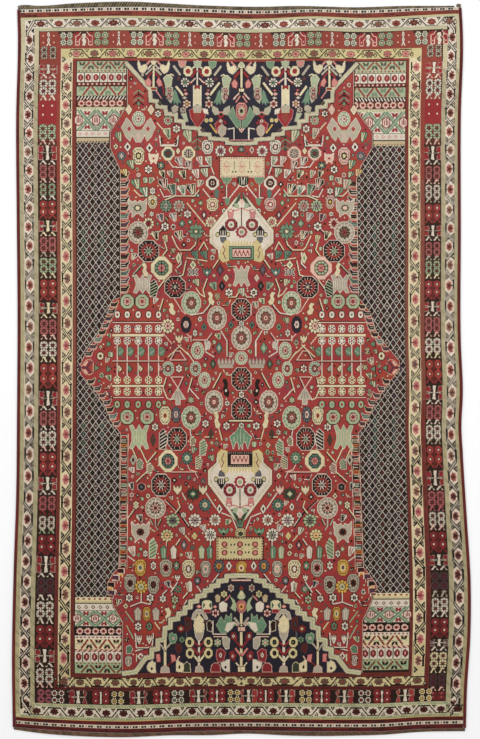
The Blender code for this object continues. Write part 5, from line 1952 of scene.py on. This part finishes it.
def lay_out(across, down, side_inset):
    """Places on the rug of drawing coordinates, pulled to its wavy edges."""
    x = (across - CENTRE[0]) * UNIT
    y = (CENTRE[1] - down) * UNIT
    top = along(TOP_WEFT, x)
    bottom = along(BOTTOM_WEFT, x)
    pile_top = top - along(TOP_STRIPES, x)
    pile_bottom = bottom + along(BOTTOM_STRIPES, x)
    high = (CENTRE[1] - PILE_ROWS[0]) * UNIT
    low = (CENTRE[1] - PILE_ROWS[1]) * UNIT
    share = np.clip((y - low) / (high - low), 0, 1) * 2 - 1
    pull = np.abs(share) ** 6
    inside = y + np.where(share > 0, pull * (pile_top - high), pull * (pile_bottom - low))
    body_top = (CENTRE[1] - BODY[1]) * UNIT
    body_low = (CENTRE[1] - BODY[3]) * UNIT
    over = pile_top + (y - high) / (body_top - high) * (top - pile_top)
    under = pile_bottom + (y - low) / (body_low - low) * (bottom - pile_bottom)
    new_y = np.where(y > high, over, np.where(y < low, under, inside))
    inset = SELVEDGE_WIDTH + GAP + side_inset
    left = along(LEFT_SIDE, new_y) + inset
    right = along(RIGHT_SIDE, new_y) - inset
    nominal_left = (BODY[0] - CENTRE[0]) * UNIT
    nominal_right = (BODY[2] - CENTRE[0]) * UNIT
    middle = (nominal_left + nominal_right) / 2
    reach = (x - middle) / (nominal_right - middle)
    move = np.abs(reach) ** 3 * np.where(reach < 0, left - nominal_left, right - nominal_right)
    new_x = x + move
    # the ends follow the place that each point has moved to
    fixed_top = along(TOP_WEFT, new_x) - top
    fixed_low = along(BOTTOM_WEFT, new_x) - bottom
    new_y = new_y + np.where(share > 0, pull * fixed_top, pull * fixed_low)
    return new_x + CENTRING[0], new_y + CENTRING[1]


def mesh_lines(start, stop, rise, fall):
    """Places and heights of the grid lines, with a steep step from the flat weave up to the pile."""
    outer, inner = 0.08, 0.30     # drawing units before and behind the step
    shoulder = PILE_HEIGHT - 0.0011
    lines = []
    squares = []
    for place in range(start, stop + 1, CELL):
        if place == rise:
            lines += [(place - outer * (rise > start), WEAVE_HEIGHT), (place + inner, shoulder)]
            squares += [place, place]
        elif place == fall:
            lines += [(place - inner, shoulder), (place + outer * (fall < stop), WEAVE_HEIGHT)]
            squares += [place] if fall < stop else []
            squares.insert(len(squares) - (1 if fall < stop else 0), place - CELL)
        else:
            lines.append((place, PILE_HEIGHT if rise < place < fall else WEAVE_HEIGHT))
            if place < stop:
                squares.append(place)
    return lines, squares


def build_cloth(cells):
    """One closed mesh of the woven body, each face carrying its knots' wools."""
    columns, column_squares = mesh_lines(BODY[0], BODY[2], BODY[0], BODY[2])
    rows, row_squares = mesh_lines(BODY[1], BODY[3], PILE_ROWS[0], PILE_ROWS[1])
    across = np.array([place for place, height in columns])
    down = np.array([place for place, height in rows])
    grid_x, grid_y = np.meshgrid(across, down)
    x, y = lay_out(grid_x, grid_y, 0.0)
    high = np.minimum(
        np.array([height for place, height in rows])[:, None],
        np.array([height for place, height in columns])[None, :],
    )
    # a worn pile is a little lower in soft patches
    sag = 0.5 + 0.25 * np.sin(grid_x * 0.043 + 1.3 * np.sin(grid_y * 0.021))
    sag = sag + 0.25 * np.sin(grid_y * 0.034 + 1.1 * np.sin(grid_x * 0.027) + 0.6)
    high = high - 0.0007 * sag * (high > 0.0075)
    count_y, count_x = grid_x.shape
    total = count_x * count_y
    top = np.stack([x, y, high], 2).reshape(-1, 3)
    under = np.stack([x, y, np.zeros_like(high)], 2).reshape(-1, 3)
    number = np.arange(total).reshape(count_y, count_x)
    quads = []
    corners = []
    squares = []
    edge = 0.01
    sx = np.array(column_squares, dtype=float) * KNOTS
    sy = np.array(row_squares, dtype=float) * KNOTS
    u0 = np.clip(across[:-1] * KNOTS, sx + edge, sx + SPAN - edge)
    u1 = np.clip(across[1:] * KNOTS, sx + edge, sx + SPAN - edge)
    v0 = np.clip(down[:-1] * KNOTS, sy + edge, sy + SPAN - edge)
    v1 = np.clip(down[1:] * KNOTS, sy + edge, sy + SPAN - edge)

    def add(points, us, vs, square_x, square_y):
        quads.append(np.stack([p.ravel() for p in points], 1))
        corners.append(np.stack([np.stack([u.ravel(), v.ravel()], 1) for u, v in zip(us, vs)], 1))
        squares.append(np.stack([square_x.ravel(), square_y.ravel()], 1))

    left, right = np.meshgrid(u0, v0)[0], np.meshgrid(u1, v0)[0]
    upper, lower = np.meshgrid(u0, v0)[1], np.meshgrid(u0, v1)[1]
    home_x, home_y = np.meshgrid(sx, sy)
    a, b = number[1:, :-1], number[1:, 1:]
    c, d = number[:-1, 1:], number[:-1, :-1]
    add((a, b, c, d), (left, right, right, left), (lower, lower, upper, upper), home_x, home_y)
    add(
        (d + total, c + total, b + total, a + total), (left, right, right, left),
        (upper, upper, lower, lower), home_x, home_y,
    )
    # walls round the edge, each as tall as the cloth
    row, v, home = number[0], np.full_like(u0, v0[0]), np.full_like(sx, sy[0])
    add((row[:-1], row[1:], row[1:] + total, row[:-1] + total), (u0, u1, u1, u0), (v, v, v, v), sx, home)
    row, v, home = number[-1], np.full_like(u0, v1[-1]), np.full_like(sx, sy[-1])
    add((row[1:], row[:-1], row[:-1] + total, row[1:] + total), (u1, u0, u0, u1), (v, v, v, v), sx, home)
    row, u, home = number[:, 0], np.full_like(v0, u0[0]), np.full_like(sy, sx[0])
    add((row[1:], row[:-1], row[:-1] + total, row[1:] + total), (u, u, u, u), (v1, v0, v0, v1), home, sy)
    row, u, home = number[:, -1], np.full_like(v0, u1[-1]), np.full_like(sy, sx[-1])
    add((row[:-1], row[1:], row[1:] + total, row[:-1] + total), (u, u, u, u), (v0, v1, v1, v0), home, sy)
    quads = np.concatenate(quads)
    corners = np.concatenate(corners)
    squares = np.concatenate(squares).astype(int)
    return knotted_mesh(np.concatenate([top, under]), quads, corners, squares, cells)


def knotted_mesh(points, quads, corners, squares, cells):
    """Mesh object of four-cornered faces, with the wools of each face's knots stored on it."""
    mesh = bpy.data.meshes.new("woven_pile")
    mesh.vertices.add(len(points))
    mesh.vertices.foreach_set("co", points.astype(np.float32).ravel())
    mesh.loops.add(len(quads) * 4)
    mesh.loops.foreach_set("vertex_index", quads.astype(np.int32).ravel())
    mesh.polygons.add(len(quads))
    mesh.polygons.foreach_set("loop_start", np.arange(0, len(quads) * 4, 4, dtype=np.int32))
    mesh.update(calc_edges=True)
    mesh.validate()
    layer = mesh.uv_layers.new(name="knots")
    layer.uv.foreach_set("vector", corners.astype(np.float32).ravel())
    packed = np.zeros((len(squares), STORED), dtype=np.float64)
    for place in range(SPAN * SPAN):
        knot_y = squares[:, 1] + place // SPAN
        knot_x = squares[:, 0] + place % SPAN
        packed[:, place // DIGITS] += cells[knot_y, knot_x].astype(np.float64) * BASE ** (place % DIGITS)
    for group in range(STORED // 3):
        store = mesh.attributes.new("wools_%d" % group, "FLOAT_VECTOR", "FACE")
        store.data.foreach_set("vector", packed[:, group * 3:group * 3 + 3].astype(np.float32).ravel())
    piece = bpy.data.objects.new("woven_pile", mesh)
    bpy.context.scene.collection.objects.link(piece)
    mesh.shade_smooth()
    mesh.set_sharp_from_angle(angle=math.radians(40))
    return piece


class Graph:
    """Small helper that adds shader nodes and joins them."""

    def __init__(self, name):
        self.material = bpy.data.materials.new(name)
        self.material.use_nodes = True
        self.tree = self.material.node_tree
        self.shader = self.tree.nodes["Principled BSDF"]

    def node(self, kind, **settings):
        made = self.tree.nodes.new(kind)
        for name, value in settings.items():
            setattr(made, name, value)
        return made

    def join(self, value, socket):
        if isinstance(value, bpy.types.NodeSocket):
            self.tree.links.new(value, socket)
        else:
            socket.default_value = value

    def math(self, operation, *values):
        made = self.node("ShaderNodeMath", operation=operation)
        for value, socket in zip(values, made.inputs):
            self.join(value, socket)
        return made.outputs[0]

    def vector(self, x, y, z=0.0):
        made = self.node("ShaderNodeCombineXYZ")
        for value, socket in zip((x, y, z), made.inputs):
            self.join(value, socket)
        return made.outputs[0]

    def split(self, vector):
        made = self.node("ShaderNodeSeparateXYZ")
        self.join(vector, made.inputs[0])
        return made.outputs

    def mix(self, share, one, two, blend="MIX"):
        made = self.node("ShaderNodeMix", data_type="RGBA", blend_type=blend)
        self.join(share, made.inputs[0])
        self.join(one, made.inputs[6])
        self.join(two, made.inputs[7])
        return made.outputs[2]

    def noise(self, vector, scale, detail=2.0, roughness=0.5):
        made = self.node("ShaderNodeTexNoise", noise_dimensions="3D")
        self.join(vector, made.inputs["Vector"])
        made.inputs["Scale"].default_value = scale
        made.inputs["Detail"].default_value = detail
        made.inputs["Roughness"].default_value = roughness
        return made.outputs["Fac"]

    def fit(self, value, low, high, new_low, new_high):
        made = self.node("ShaderNodeMapRange")
        self.join(value, made.inputs[0])
        for place, number in enumerate((low, high, new_low, new_high)):
            made.inputs[place + 1].default_value = number
        return made.outputs[0]

    def scale_colour(self, colour, amount):
        """The colour made lighter or darker by a number."""
        made = self.node("ShaderNodeVectorMath", operation="SCALE")
        self.join(colour, made.inputs[0])
        self.join(amount, made.inputs["Scale"])
        return made.outputs[0]

    def bump(self, height, distance, strength=1.0):
        made = self.node("ShaderNodeBump")
        self.join(height, made.inputs["Height"])
        made.inputs["Distance"].default_value = distance
        made.inputs["Strength"].default_value = strength
        self.tree.links.new(made.outputs[0], self.shader.inputs["Normal"])

    def finish(self, colour, roughness, sheen):
        self.join(colour, self.shader.inputs["Base Color"])
        self.shader.inputs["Roughness"].default_value = roughness
        self.shader.inputs["Specular IOR Level"].default_value = 0.15
        self.shader.inputs["Sheen Weight"].default_value = sheen
        self.shader.inputs["Sheen Roughness"].default_value = 0.6
        return self.material


def linear(shade):
    """Scene colour of a display colour."""
    return tuple(part / 12.92 if part <= 0.04045 else ((part + 0.055) / 1.055) ** 2.4 for part in shade)


def palette(graph, index, shades):
    ramp = graph.node("ShaderNodeValToRGB")
    ramp.color_ramp.interpolation = "CONSTANT"
    stops = ramp.color_ramp.elements
    while len(stops) < len(shades):
        stops.new(1.0)
    for number, shade in enumerate(shades):
        stops[number].position = number / BASE
        stops[number].color = (*linear(shade), 1.0)
    graph.join(index, ramp.inputs[0])
    return ramp.outputs[0]


def pile_material(upper, lower, variation):
    """Knotted wool: reads each knot's wool from the mesh and dyes it."""
    g = Graph("knotted_wool")
    knots = g.node("ShaderNodeUVMap", uv_map="knots").outputs[0]
    knot_x, knot_y = g.split(knots)[:2]
    whole_x = g.math("FLOOR", knot_x)
    whole_y = g.math("FLOOR", knot_y)
    local_x = g.math("FLOORED_MODULO", g.math("SUBTRACT", whole_x, BODY[0] * KNOTS), SPAN)
    local_y = g.math("FLOORED_MODULO", g.math("SUBTRACT", whole_y, BODY[1] * KNOTS), SPAN)
    place = g.math("MULTIPLY_ADD", local_y, SPAN, local_x)
    group = g.math("FLOOR", g.math("MULTIPLY_ADD", place, 1 / DIGITS, 0.001))
    digit = g.math("MULTIPLY_ADD", group, -float(DIGITS), place)
    packed = 0.0
    for number in range(STORED):
        if number % 3 == 0:
            store = g.node("ShaderNodeAttribute", attribute_name="wools_%d" % (number // 3))
            parts = g.split(store.outputs["Vector"])
        chosen = g.math("COMPARE", group, float(number), 0.5)
        packed = g.math("MULTIPLY_ADD", parts[number % 3], chosen, packed)
    divisor = 1.0
    for power in range(DIGITS - 1):
        growth = float(BASE ** (power + 1) - BASE ** power)
        divisor = g.math("MULTIPLY_ADD", g.math("GREATER_THAN", digit, power + 0.5), growth, divisor)
    shifted = g.math("FLOOR", g.math("DIVIDE", packed, divisor))
    index = g.math("FLOORED_MODULO", shifted, float(BASE))
    share = g.math("DIVIDE", g.math("ADD", index, 0.5), float(BASE))
    # the knots' colours pass from the lighter top set to the darker bottom set down the rug
    down = g.fit(knot_y, BODY[1] * KNOTS, BODY[3] * KNOTS, 0.0, 1.0)
    colour = g.mix(down, palette(g, share, upper), palette(g, share, lower))
    # every knot takes the dye a little differently, and every few rows come from another dye bath
    speckle = g.node("ShaderNodeTexWhiteNoise", noise_dimensions="2D")
    g.join(g.vector(whole_x, whole_y), speckle.inputs["Vector"])
    bath = g.noise(
        g.vector(g.math("MULTIPLY", knot_x, 0.004), g.math("MULTIPLY", knot_y, 0.03)), 1.0, 4.0, 0.7,
    )
    cloud = g.noise(
        g.vector(g.math("MULTIPLY", knot_x, 0.012), g.math("MULTIPLY", knot_y, 0.012)), 1.0, 3.0, 0.6,
    )
    tone = g.fit(speckle.outputs["Value"], 0.0, 1.0, 1.0 - variation, 1.0 + variation)
    tone = g.math("MULTIPLY", tone, g.fit(bath, 0.3, 0.7, 0.90, 1.10))
    tone = g.math("MULTIPLY", tone, g.fit(cloud, 0.3, 0.7, 0.92, 1.08))
    colour = g.scale_colour(colour, tone)
    # knot heads
    inner_x = g.math("SUBTRACT", g.math("FRACT", knot_x), 0.5)
    inner_y = g.math("SUBTRACT", g.math("FRACT", knot_y), 0.5)
    far = g.math("ADD", g.math("MULTIPLY", inner_x, inner_x), g.math("MULTIPLY", inner_y, inner_y))
    fibre = g.noise(g.vector(knot_x, knot_y), 3.0, 3.0, 0.7)
    height = g.math("MULTIPLY_ADD", fibre, 0.6, g.math("SUBTRACT", 0.6, far))
    g.bump(height, 0.0005, 0.6)
    return g.finish(colour, 0.95, 0.06)


# Selvedges, plaited ends and tassel

def new_piece(name, points, faces, shades=None):
    """Mesh object from lists, with one shade number for each face."""
    mesh = bpy.data.meshes.new(name)
    mesh.from_pydata([tuple(point) for point in points], [], faces)
    if shades is not None:
        store = mesh.attributes.new("strand_shade", "FLOAT", "FACE")
        store.data.foreach_set("value", np.array(shades, dtype=np.float32))
    mesh.shade_smooth()
    piece = bpy.data.objects.new(name, mesh)
    bpy.context.scene.collection.objects.link(piece)
    return piece


def sweep(points, faces, shades, rings, shade):
    """Closed tube through rings of points, joined to what the lists already hold."""
    start = len(points)
    around_count = len(rings[0])
    for ring in rings:
        points.extend(ring)
    for step in range(len(rings) - 1):
        for side in range(around_count):
            a = start + step * around_count + side
            b = start + step * around_count + (side + 1) % around_count
            faces.append((a, b, b + around_count, a + around_count))
            shades.append(shade)
    faces.append(tuple(start + side for side in reversed(range(around_count))))
    last = start + (len(rings) - 1) * around_count
    faces.append(tuple(last + side for side in range(around_count)))
    shades.extend((shade, shade))


def ring_of(count, spot, start=0.0):
    """Ring of a tube: spot gives each point for the cosine and the sine of its angle."""
    ring = []
    for side in range(count):
        angle = 2 * math.pi * (side + start) / count
        x, y, z = spot(math.cos(angle), math.sin(angle))
        ring.append((x + CENTRING[0], y + CENTRING[1], z))
    return ring


def side_ends(table, inward):
    """Where a selvedge starts and stops along its side."""
    ends = []
    for weft, gap in ((BOTTOM_WEFT, GAP), (TOP_WEFT, -GAP)):
        y = 0.0
        for _ in range(4):
            x = float(along(table, y)) + inward * SELVEDGE_WIDTH / 2
            y = float(along(weft, x))
        ends.append(y + gap)
    return ends


def build_selvedge(name, table, inward):
    """Cord overcast with wool: close ridges wound round the edge warps."""
    start, stop = side_ends(table, inward)
    ridge = 0.0046
    swells = (0.91, 0.985, 1.0, 0.97)      # girths along one ridge
    belly = SELVEDGE_HEIGHT * 0.30         # height of the widest line
    count = int((stop - start) / ridge) * len(swells)
    rings = []
    for step in range(count + 1):
        y = start + (stop - start) * step / count
        middle = float(along(table, y)) + inward * SELVEDGE_WIDTH / 2
        at_end = step in (0, count)
        swell = 0.8 if at_end else swells[step % len(swells)]
        # each turn of the wool lies at a slant
        slant = 0.0 if at_end else 0.0016

        def spot(across, rise):
            if rise >= 0:
                z = SELVEDGE_HEIGHT * (0.30 + 0.70 * swell * rise ** 0.7)
            else:
                z = belly * (1 - abs(rise) ** 0.6)
            return middle + across * SELVEDGE_WIDTH / 2 * swell, y + slant * across * inward, max(z, 0.0)

        rings.append(ring_of(12, spot))
    points, faces, shades = [], [], []
    sweep(points, faces, shades, rings, 0.0)
    return new_piece(name, points, faces)


def plait_core(weft, widths, outward, start, stop):
    """Rings of the flat core that the strands of a plait lie over."""
    rings = []
    for x in np.linspace(start + 0.003, stop - 0.003, 160):
        width = float(along(widths, x))
        middle = float(along(weft, x)) + outward * (GAP + width / 2)
        tall = PLAIT_HEIGHT * width / PLAIT_WIDTH

        def spot(across, rise):
            return x, middle + outward * across * width * 0.44, tall * (0.42 + 0.40 * rise)

        ring = ring_of(8, spot)
        rings.append(ring if outward > 0 else ring[::-1])
    return rings


def build_plait(name, weft, widths, outward, start, stop):
    """Warp ends plaited into a flat braid: slanting strands over a dark core, which is painted shade
    where it shows between them.
    """
    points, faces, shades = [], [], []
    rng = np.random.default_rng(21 if outward > 0 else 22)
    # the core takes the dark yarn's colour, so the gaps between the strands show painted shade
    sweep(points, faces, shades, plait_core(weft, widths, outward, start, stop), 0.05)
    pitch = 0.0047
    count = int((stop - start - 0.010) / pitch)
    for number in range(count):
        x0 = start + 0.005 + pitch * (number + 0.5)
        width = float(along(widths, x0))
        lean = min(0.42 * width, 0.0055)
        tall = PLAIT_HEIGHT * width / PLAIT_WIDTH
        shade = (0.15 if number % 2 else 0.75) + rng.uniform(-0.15, 0.2)
        rings = []
        for step in range(6):
            share = step / 5
            x = x0 + (share - 0.5) * 2 * lean
            x = min(max(x, start + 0.002), stop - 0.002)
            base = float(along(weft, x)) + outward * GAP
            y = base + outward * (width * (0.06 + 0.88 * share))
            lift = math.sin(math.pi * (0.12 + 0.76 * share))
            half_wide = pitch * 0.52 * (0.72 + 0.28 * lift)
            half_tall = tall * 0.24
            middle_z = tall * (0.26 + 0.47 * lift)

            def spot(across, rise):
                return x + half_wide * across, y, middle_z + half_tall * rise

            ring = ring_of(6, spot, 0.5)
            rings.append(ring if outward < 0 else ring[::-1])
        sweep(points, faces, shades, rings, min(max(shade, 0.0), 1.0))
    return new_piece(name, points, faces, shades)


def build_tassel():
    """Spare warps tied in a knot, with their ends fanned out."""
    centre_x = float(along(RIGHT_SIDE, CLOTH_END)) - 0.011
    centre_y = float(along(TOP_WEFT, centre_x)) + GAP + 0.0045
    points, faces, shades = [], [], []
    rng = np.random.default_rng(5)
    for turn in range(5):
        rings = []
        for step in range(9):
            share = step / 8
            x = centre_x + (share - 0.5) * 0.0170 * (1 - 0.12 * abs(turn - 2))
            y = centre_y - 0.0026 + 0.0013 * turn
            arch = 0.0010 + 0.0052 * math.sin(math.pi * (0.08 + 0.84 * share))

            def spot(across, rise):
                return x, y + 0.0010 * across + 0.0006 * math.sin(share * 9), arch + 0.0011 * rise

            rings.append(ring_of(6, spot))
        sweep(points, faces, shades, rings, 0.2 + 0.12 * turn)
    for number in range(18):
        lean = math.radians(-62 + 124 * number / 17)
        length = (0.0094 - 0.0016 * abs(number - 8.5) / 8.5) * rng.uniform(0.86, 1.0)
        rings = []
        for step in range(5):
            share = step / 4
            x = centre_x + math.sin(lean) * (0.0030 + length * share)
            y = centre_y + 0.0006 + math.cos(lean) * length * share * 0.95
            z = 0.0036 - 0.0022 * share + 0.0008 * (number % 3) * (1 - share)
            thick = 0.00085 * (1 - 0.45 * share)

            def spot(across, rise):
                wide = thick * across
                return x + wide * math.cos(lean), y - wide * math.sin(lean), z + thick * rise

            rings.append(ring_of(5, spot))
        sweep(points, faces, shades, rings, float(rng.uniform(0.1, 0.9)))
    return new_piece("tassel_strands", points, faces, shades)


def selvedge_material(dark, light):
    g = Graph("overcast_wool")
    place = g.node("ShaderNodeTexCoord").outputs["Object"]
    x, y = g.split(place)[:2]
    # The winding: one red wool as a lit copy on the raised bands and a shaded copy, painted shade, in the
    # grooves; the same bands make the bump
    winding = g.node("ShaderNodeTexWave", wave_type="BANDS", bands_direction="Y", wave_profile="SIN")
    g.join(g.vector(x, g.math("ADD", y, g.math("MULTIPLY", x, 0.3))), winding.inputs["Vector"])
    winding.inputs["Scale"].default_value = 68.0
    winding.inputs["Distortion"].default_value = 1.2
    winding.inputs["Detail"].default_value = 2.0
    patches = g.noise(place, 9.0, 4.0, 0.65)
    fibres = g.noise(place, 900.0, 2.0, 0.6)
    colour = g.mix(winding.outputs["Fac"], (*linear(dark), 1), (*linear(light), 1))
    colour = g.scale_colour(colour, g.fit(patches, 0.35, 0.65, 1.1, 0.62))
    colour = g.scale_colour(colour, g.fit(fibres, 0.2, 0.8, 0.82, 1.18))
    g.bump(g.math("MULTIPLY_ADD", fibres, 0.4, winding.outputs["Fac"]), 0.0006, 0.5)
    return g.finish(colour, 0.9, 0.15)


def strand_material(name, dark, light):
    """Undyed warp yarn, dark goat hair and pale wool together."""
    g = Graph(name)
    store = g.node("ShaderNodeAttribute", attribute_name="strand_shade")
    place = g.node("ShaderNodeTexCoord").outputs["Object"]
    fibres = g.noise(place, 1100.0, 3.0, 0.65)
    patches = g.noise(place, 60.0, 3.0, 0.6)
    share = g.math("ADD", store.outputs["Fac"], g.fit(patches, 0.3, 0.7, -0.25, 0.25))
    colour = g.mix(g.fit(share, 0.0, 1.0, 0.0, 1.0), (*linear(dark), 1), (*linear(light), 1))
    colour = g.scale_colour(colour, g.fit(fibres, 0.2, 0.8, 0.7, 1.3))
    g.bump(fibres, 0.0005, 0.7)
    return g.finish(colour, 0.92, 0.1)


class RugSizes(bpy.types.PropertyGroup):
    """Sizes and wear of the rug."""

    # Painted shade and painted light of the one dark red overcast wool: the shaded colour lies in the
    # grooves of the winding, the lit colour on its raised bands
    selvedge_shaded_wool: bpy.props.FloatVectorProperty(
        name="Selvedge, dark", description="Darker colour of the overcast edges",
        default=(0.28, 0.08, 0.07), min=0.0, max=1.0, size=3, subtype="COLOR_GAMMA",
    )
    selvedge_lit_wool: bpy.props.FloatVectorProperty(
        name="Selvedge, light", description="Lighter colour of the overcast edges",
        default=(0.46, 0.14, 0.13), min=0.0, max=1.0, size=3, subtype="COLOR_GAMMA",
    )
    warp_dark: bpy.props.FloatVectorProperty(
        name="Warps, dark", description="Dark yarn of the plaited ends", default=(0.13, 0.10, 0.07),
        min=0.0, max=1.0, size=3, subtype="COLOR_GAMMA",
    )
    warp_light: bpy.props.FloatVectorProperty(
        name="Warps, light", description="Pale yarn of the plaited ends", default=(0.62, 0.55, 0.43),
        min=0.0, max=1.0, size=3, subtype="COLOR_GAMMA",
    )
    knot_variation: bpy.props.FloatProperty(
        name="Knot variation", description="How differently single knots take the dye", default=0.16,
        min=0.0, max=0.6, subtype="FACTOR",
    )
    view_distance: bpy.props.FloatProperty(
        name="View distance", description="Height of the camera above the floor", default=12.0, min=3.0,
        unit="LENGTH", subtype="DISTANCE",
    )


class RugWools(bpy.types.PropertyGroup):
    """Colours of the dyed wools, the lighter set for the top of the rug and the darker set for its
    bottom.
    """


def wool_property(title, end, shade):
    return bpy.props.FloatVectorProperty(
        name=f"{title}, {end}", description=f"Colour of the {title} wool at the {end} of the rug",
        default=[part / 255 for part in shade], min=0.0, max=1.0, size=3, subtype="COLOR_GAMMA",
    )


RugWools.__annotations__ = {}
for wool_name, top_colour, bottom_colour in WOOLS:
    wool_title = wool_name.replace("_", " ")
    RugWools.__annotations__[wool_name + "_top"] = wool_property(wool_title, "top", top_colour)
    RugWools.__annotations__[wool_name + "_bottom"] = wool_property(wool_title, "bottom", bottom_colour)


class BuildPile(bpy.types.Operator):
    """Knot the pile and its flat-woven ends"""

    bl_idname = "rug.build_pile"
    bl_label = "Knotted pile"

    def execute(self, context):
        sizes = context.scene.rug_sizes
        piece = build_cloth(paint_chart())
        wools = context.scene.rug_wools
        upper = [tuple(getattr(wools, row[0] + "_top")) for row in WOOLS]
        lower = [tuple(getattr(wools, row[0] + "_bottom")) for row in WOOLS]
        piece.data.materials.append(pile_material(upper, lower, sizes.knot_variation))
        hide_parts("woven_body")
        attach(piece, "root")
        return {"FINISHED"}


class BuildSelvedges(bpy.types.Operator):
    """Overcast both long sides with dark red wool"""

    bl_idname = "rug.build_selvedges"
    bl_label = "Overcast selvedges"

    def execute(self, context):
        sizes = context.scene.rug_sizes
        finish = selvedge_material(tuple(sizes.selvedge_shaded_wool), tuple(sizes.selvedge_lit_wool))
        for side, table, inward in (("left", LEFT_SIDE, 1), ("right", RIGHT_SIDE, -1)):
            piece = build_selvedge("selvedge_wrap_" + side, table, inward)
            piece.data.materials.append(finish)
            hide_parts("selvedge_" + side)
            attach(piece, "root")
        return {"FINISHED"}


class BuildPlaits(bpy.types.Operator):
    """Plait the warps along both ends"""

    bl_idname = "rug.build_plaits"
    bl_label = "Plaited ends"

    def execute(self, context):
        sizes = context.scene.rug_sizes
        dark, light = tuple(sizes.warp_dark), tuple(sizes.warp_light)
        left_end = float(along(LEFT_SIDE, CLOTH_END)) + 0.001
        tassel_start = float(along(RIGHT_SIDE, CLOTH_END)) - TASSEL_WIDTH - 0.0035
        piece = build_plait("plaited_top", TOP_WEFT, TOP_PLAIT, 1, left_end, tassel_start)
        piece.data.materials.append(strand_material("pale_and_dark_warps", dark, light))
        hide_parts("plait_top")
        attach(piece, "root")
        low_left = float(along(LEFT_SIDE, -CLOTH_END)) + 0.001
        low_right = float(along(RIGHT_SIDE, -CLOTH_END)) - 0.001
        piece = build_plait("plaited_bottom", BOTTOM_WEFT, BOTTOM_PLAIT, -1, low_left, low_right)
        browner = [part * share for part, share in zip(light, (0.88, 0.74, 0.68))]
        piece.data.materials.append(strand_material("dark_warps", dark, browner))
        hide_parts("plait_bottom")
        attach(piece, "root")
        return {"FINISHED"}


class BuildTassel(bpy.types.Operator):
    """Tie the small tassel at the top right corner"""

    bl_idname = "rug.build_tassel"
    bl_label = "Corner tassel"

    def execute(self, context):
        sizes = context.scene.rug_sizes
        piece = build_tassel()
        piece.data.materials.append(
            strand_material("tassel_warps", tuple(sizes.warp_dark), tuple(sizes.warp_light))
        )
        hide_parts("corner_tassel")
        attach(piece, "root")
        return {"FINISHED"}


class DeclareCloth(bpy.types.Operator):
    """Empty step that leaves the scene as it is"""

    bl_idname = "rug.declare_cloth"
    bl_label = "Declare the cloth"

    def execute(self, context):
        return {"FINISHED"}


# Square lamps of the stage: place, width of a side and power
SOFTBOXES = (((0.0, 0.5, 5.0), 6.0, 175.0), ((-3.5, 2.5, 3.5), 3.0, 45.0), ((3.5, 2.0, 3.5), 3.0, 38.0))


class BuildStage(bpy.types.Operator):
    """Make the floor, the soft lights and the camera"""

    bl_idname = "rug.build_stage"
    bl_label = "Floor, lights and camera"

    def execute(self, context):
        scene = context.scene
        floor_mesh = bpy.data.meshes.new("floor")
        bm = bmesh.new()
        bmesh.ops.create_grid(bm, x_segments=8, y_segments=8, size=9.0)
        bm.to_mesh(floor_mesh)
        bm.free()
        floor = bpy.data.objects.new("floor", floor_mesh)
        floor.location.z = -0.0006
        scene.collection.objects.link(floor)
        g = Graph("pale_floor")
        spot = g.node("ShaderNodeTexCoord").outputs["Object"]
        shade = g.fit(g.noise(spot, 1.5), 0.0, 1.0, 0.97, 1.0)
        floor_mesh.materials.append(g.finish(g.scale_colour((0.97, 0.97, 0.97), shade), 0.9, 0.0))
        distance = scene.rug_sizes.view_distance
        data = bpy.data.cameras.new("camera")
        data.sensor_width = 36.0
        data.lens = data.sensor_width * (distance - PILE_HEIGHT) / (HEIGHT * UNIT)
        data.clip_end = 100.0
        camera = bpy.data.objects.new("camera", data)
        camera.location = (
            (WIDTH / 2 - CENTRE[0]) * UNIT + CENTRING[0], (CENTRE[1] - HEIGHT / 2) * UNIT + CENTRING[1],
            distance,
        )
        scene.collection.objects.link(camera)
        scene.camera = camera
        for place, size, power in SOFTBOXES:
            lamp = bpy.data.lights.new("softbox", "AREA")
            lamp.shape = "SQUARE"
            lamp.size = size
            lamp.energy = power
            light = bpy.data.objects.new("softbox", lamp)
            light.location = place
            light.rotation_euler = (-Vector(place)).to_track_quat("-Z", "Y").to_euler()
            scene.collection.objects.link(light)
        world = bpy.data.worlds.new("studio")
        world.use_nodes = True
        world.node_tree.nodes["Background"].inputs[0].default_value = (1.0, 1.0, 1.0, 1.0)
        world.node_tree.nodes["Background"].inputs[1].default_value = 0.42
        scene.world = world
        scene.view_settings.view_transform = "Standard"
        return {"FINISHED"}


class RugPanel(bpy.types.Panel):
    """Sizes and build steps of the rug"""

    bl_idname = "VIEW3D_PT_shiraz_rug"
    bl_label = "Shiraz Rug"
    bl_space_type = "VIEW_3D"
    bl_region_type = "UI"
    bl_category = "Shiraz Rug"

    def draw(self, context):
        layout = self.layout
        for name in RugSizes.__annotations__:
            layout.prop(context.scene.rug_sizes, name)
        for name in RugWools.__annotations__:
            layout.prop(context.scene.rug_wools, name)
        for step in STEPS:
            layout.operator(step.bl_idname)


STEPS = (BuildStage, BuildPile, BuildSelvedges, BuildPlaits, BuildTassel, DeclareCloth)
CLASSES = (RugSizes, RugWools, *STEPS, RugPanel)


def register():
    for each in CLASSES:
        bpy.utils.register_class(each)
    bpy.types.Scene.rug_sizes = bpy.props.PointerProperty(type=RugSizes)
    bpy.types.Scene.rug_wools = bpy.props.PointerProperty(type=RugWools)


def unregister():
    del bpy.types.Scene.rug_sizes
    del bpy.types.Scene.rug_wools
    for each in reversed(CLASSES):
        bpy.utils.unregister_class(each)


def main():
    register()
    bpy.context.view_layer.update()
    bpy.ops.rug.build_stage()
    bpy.ops.rug.build_pile()
    bpy.ops.rug.build_selvedges()
    bpy.ops.rug.build_plaits()
    bpy.ops.rug.build_tassel()
    bpy.ops.rug.declare_cloth()


if __name__ == "__main__":
    main()
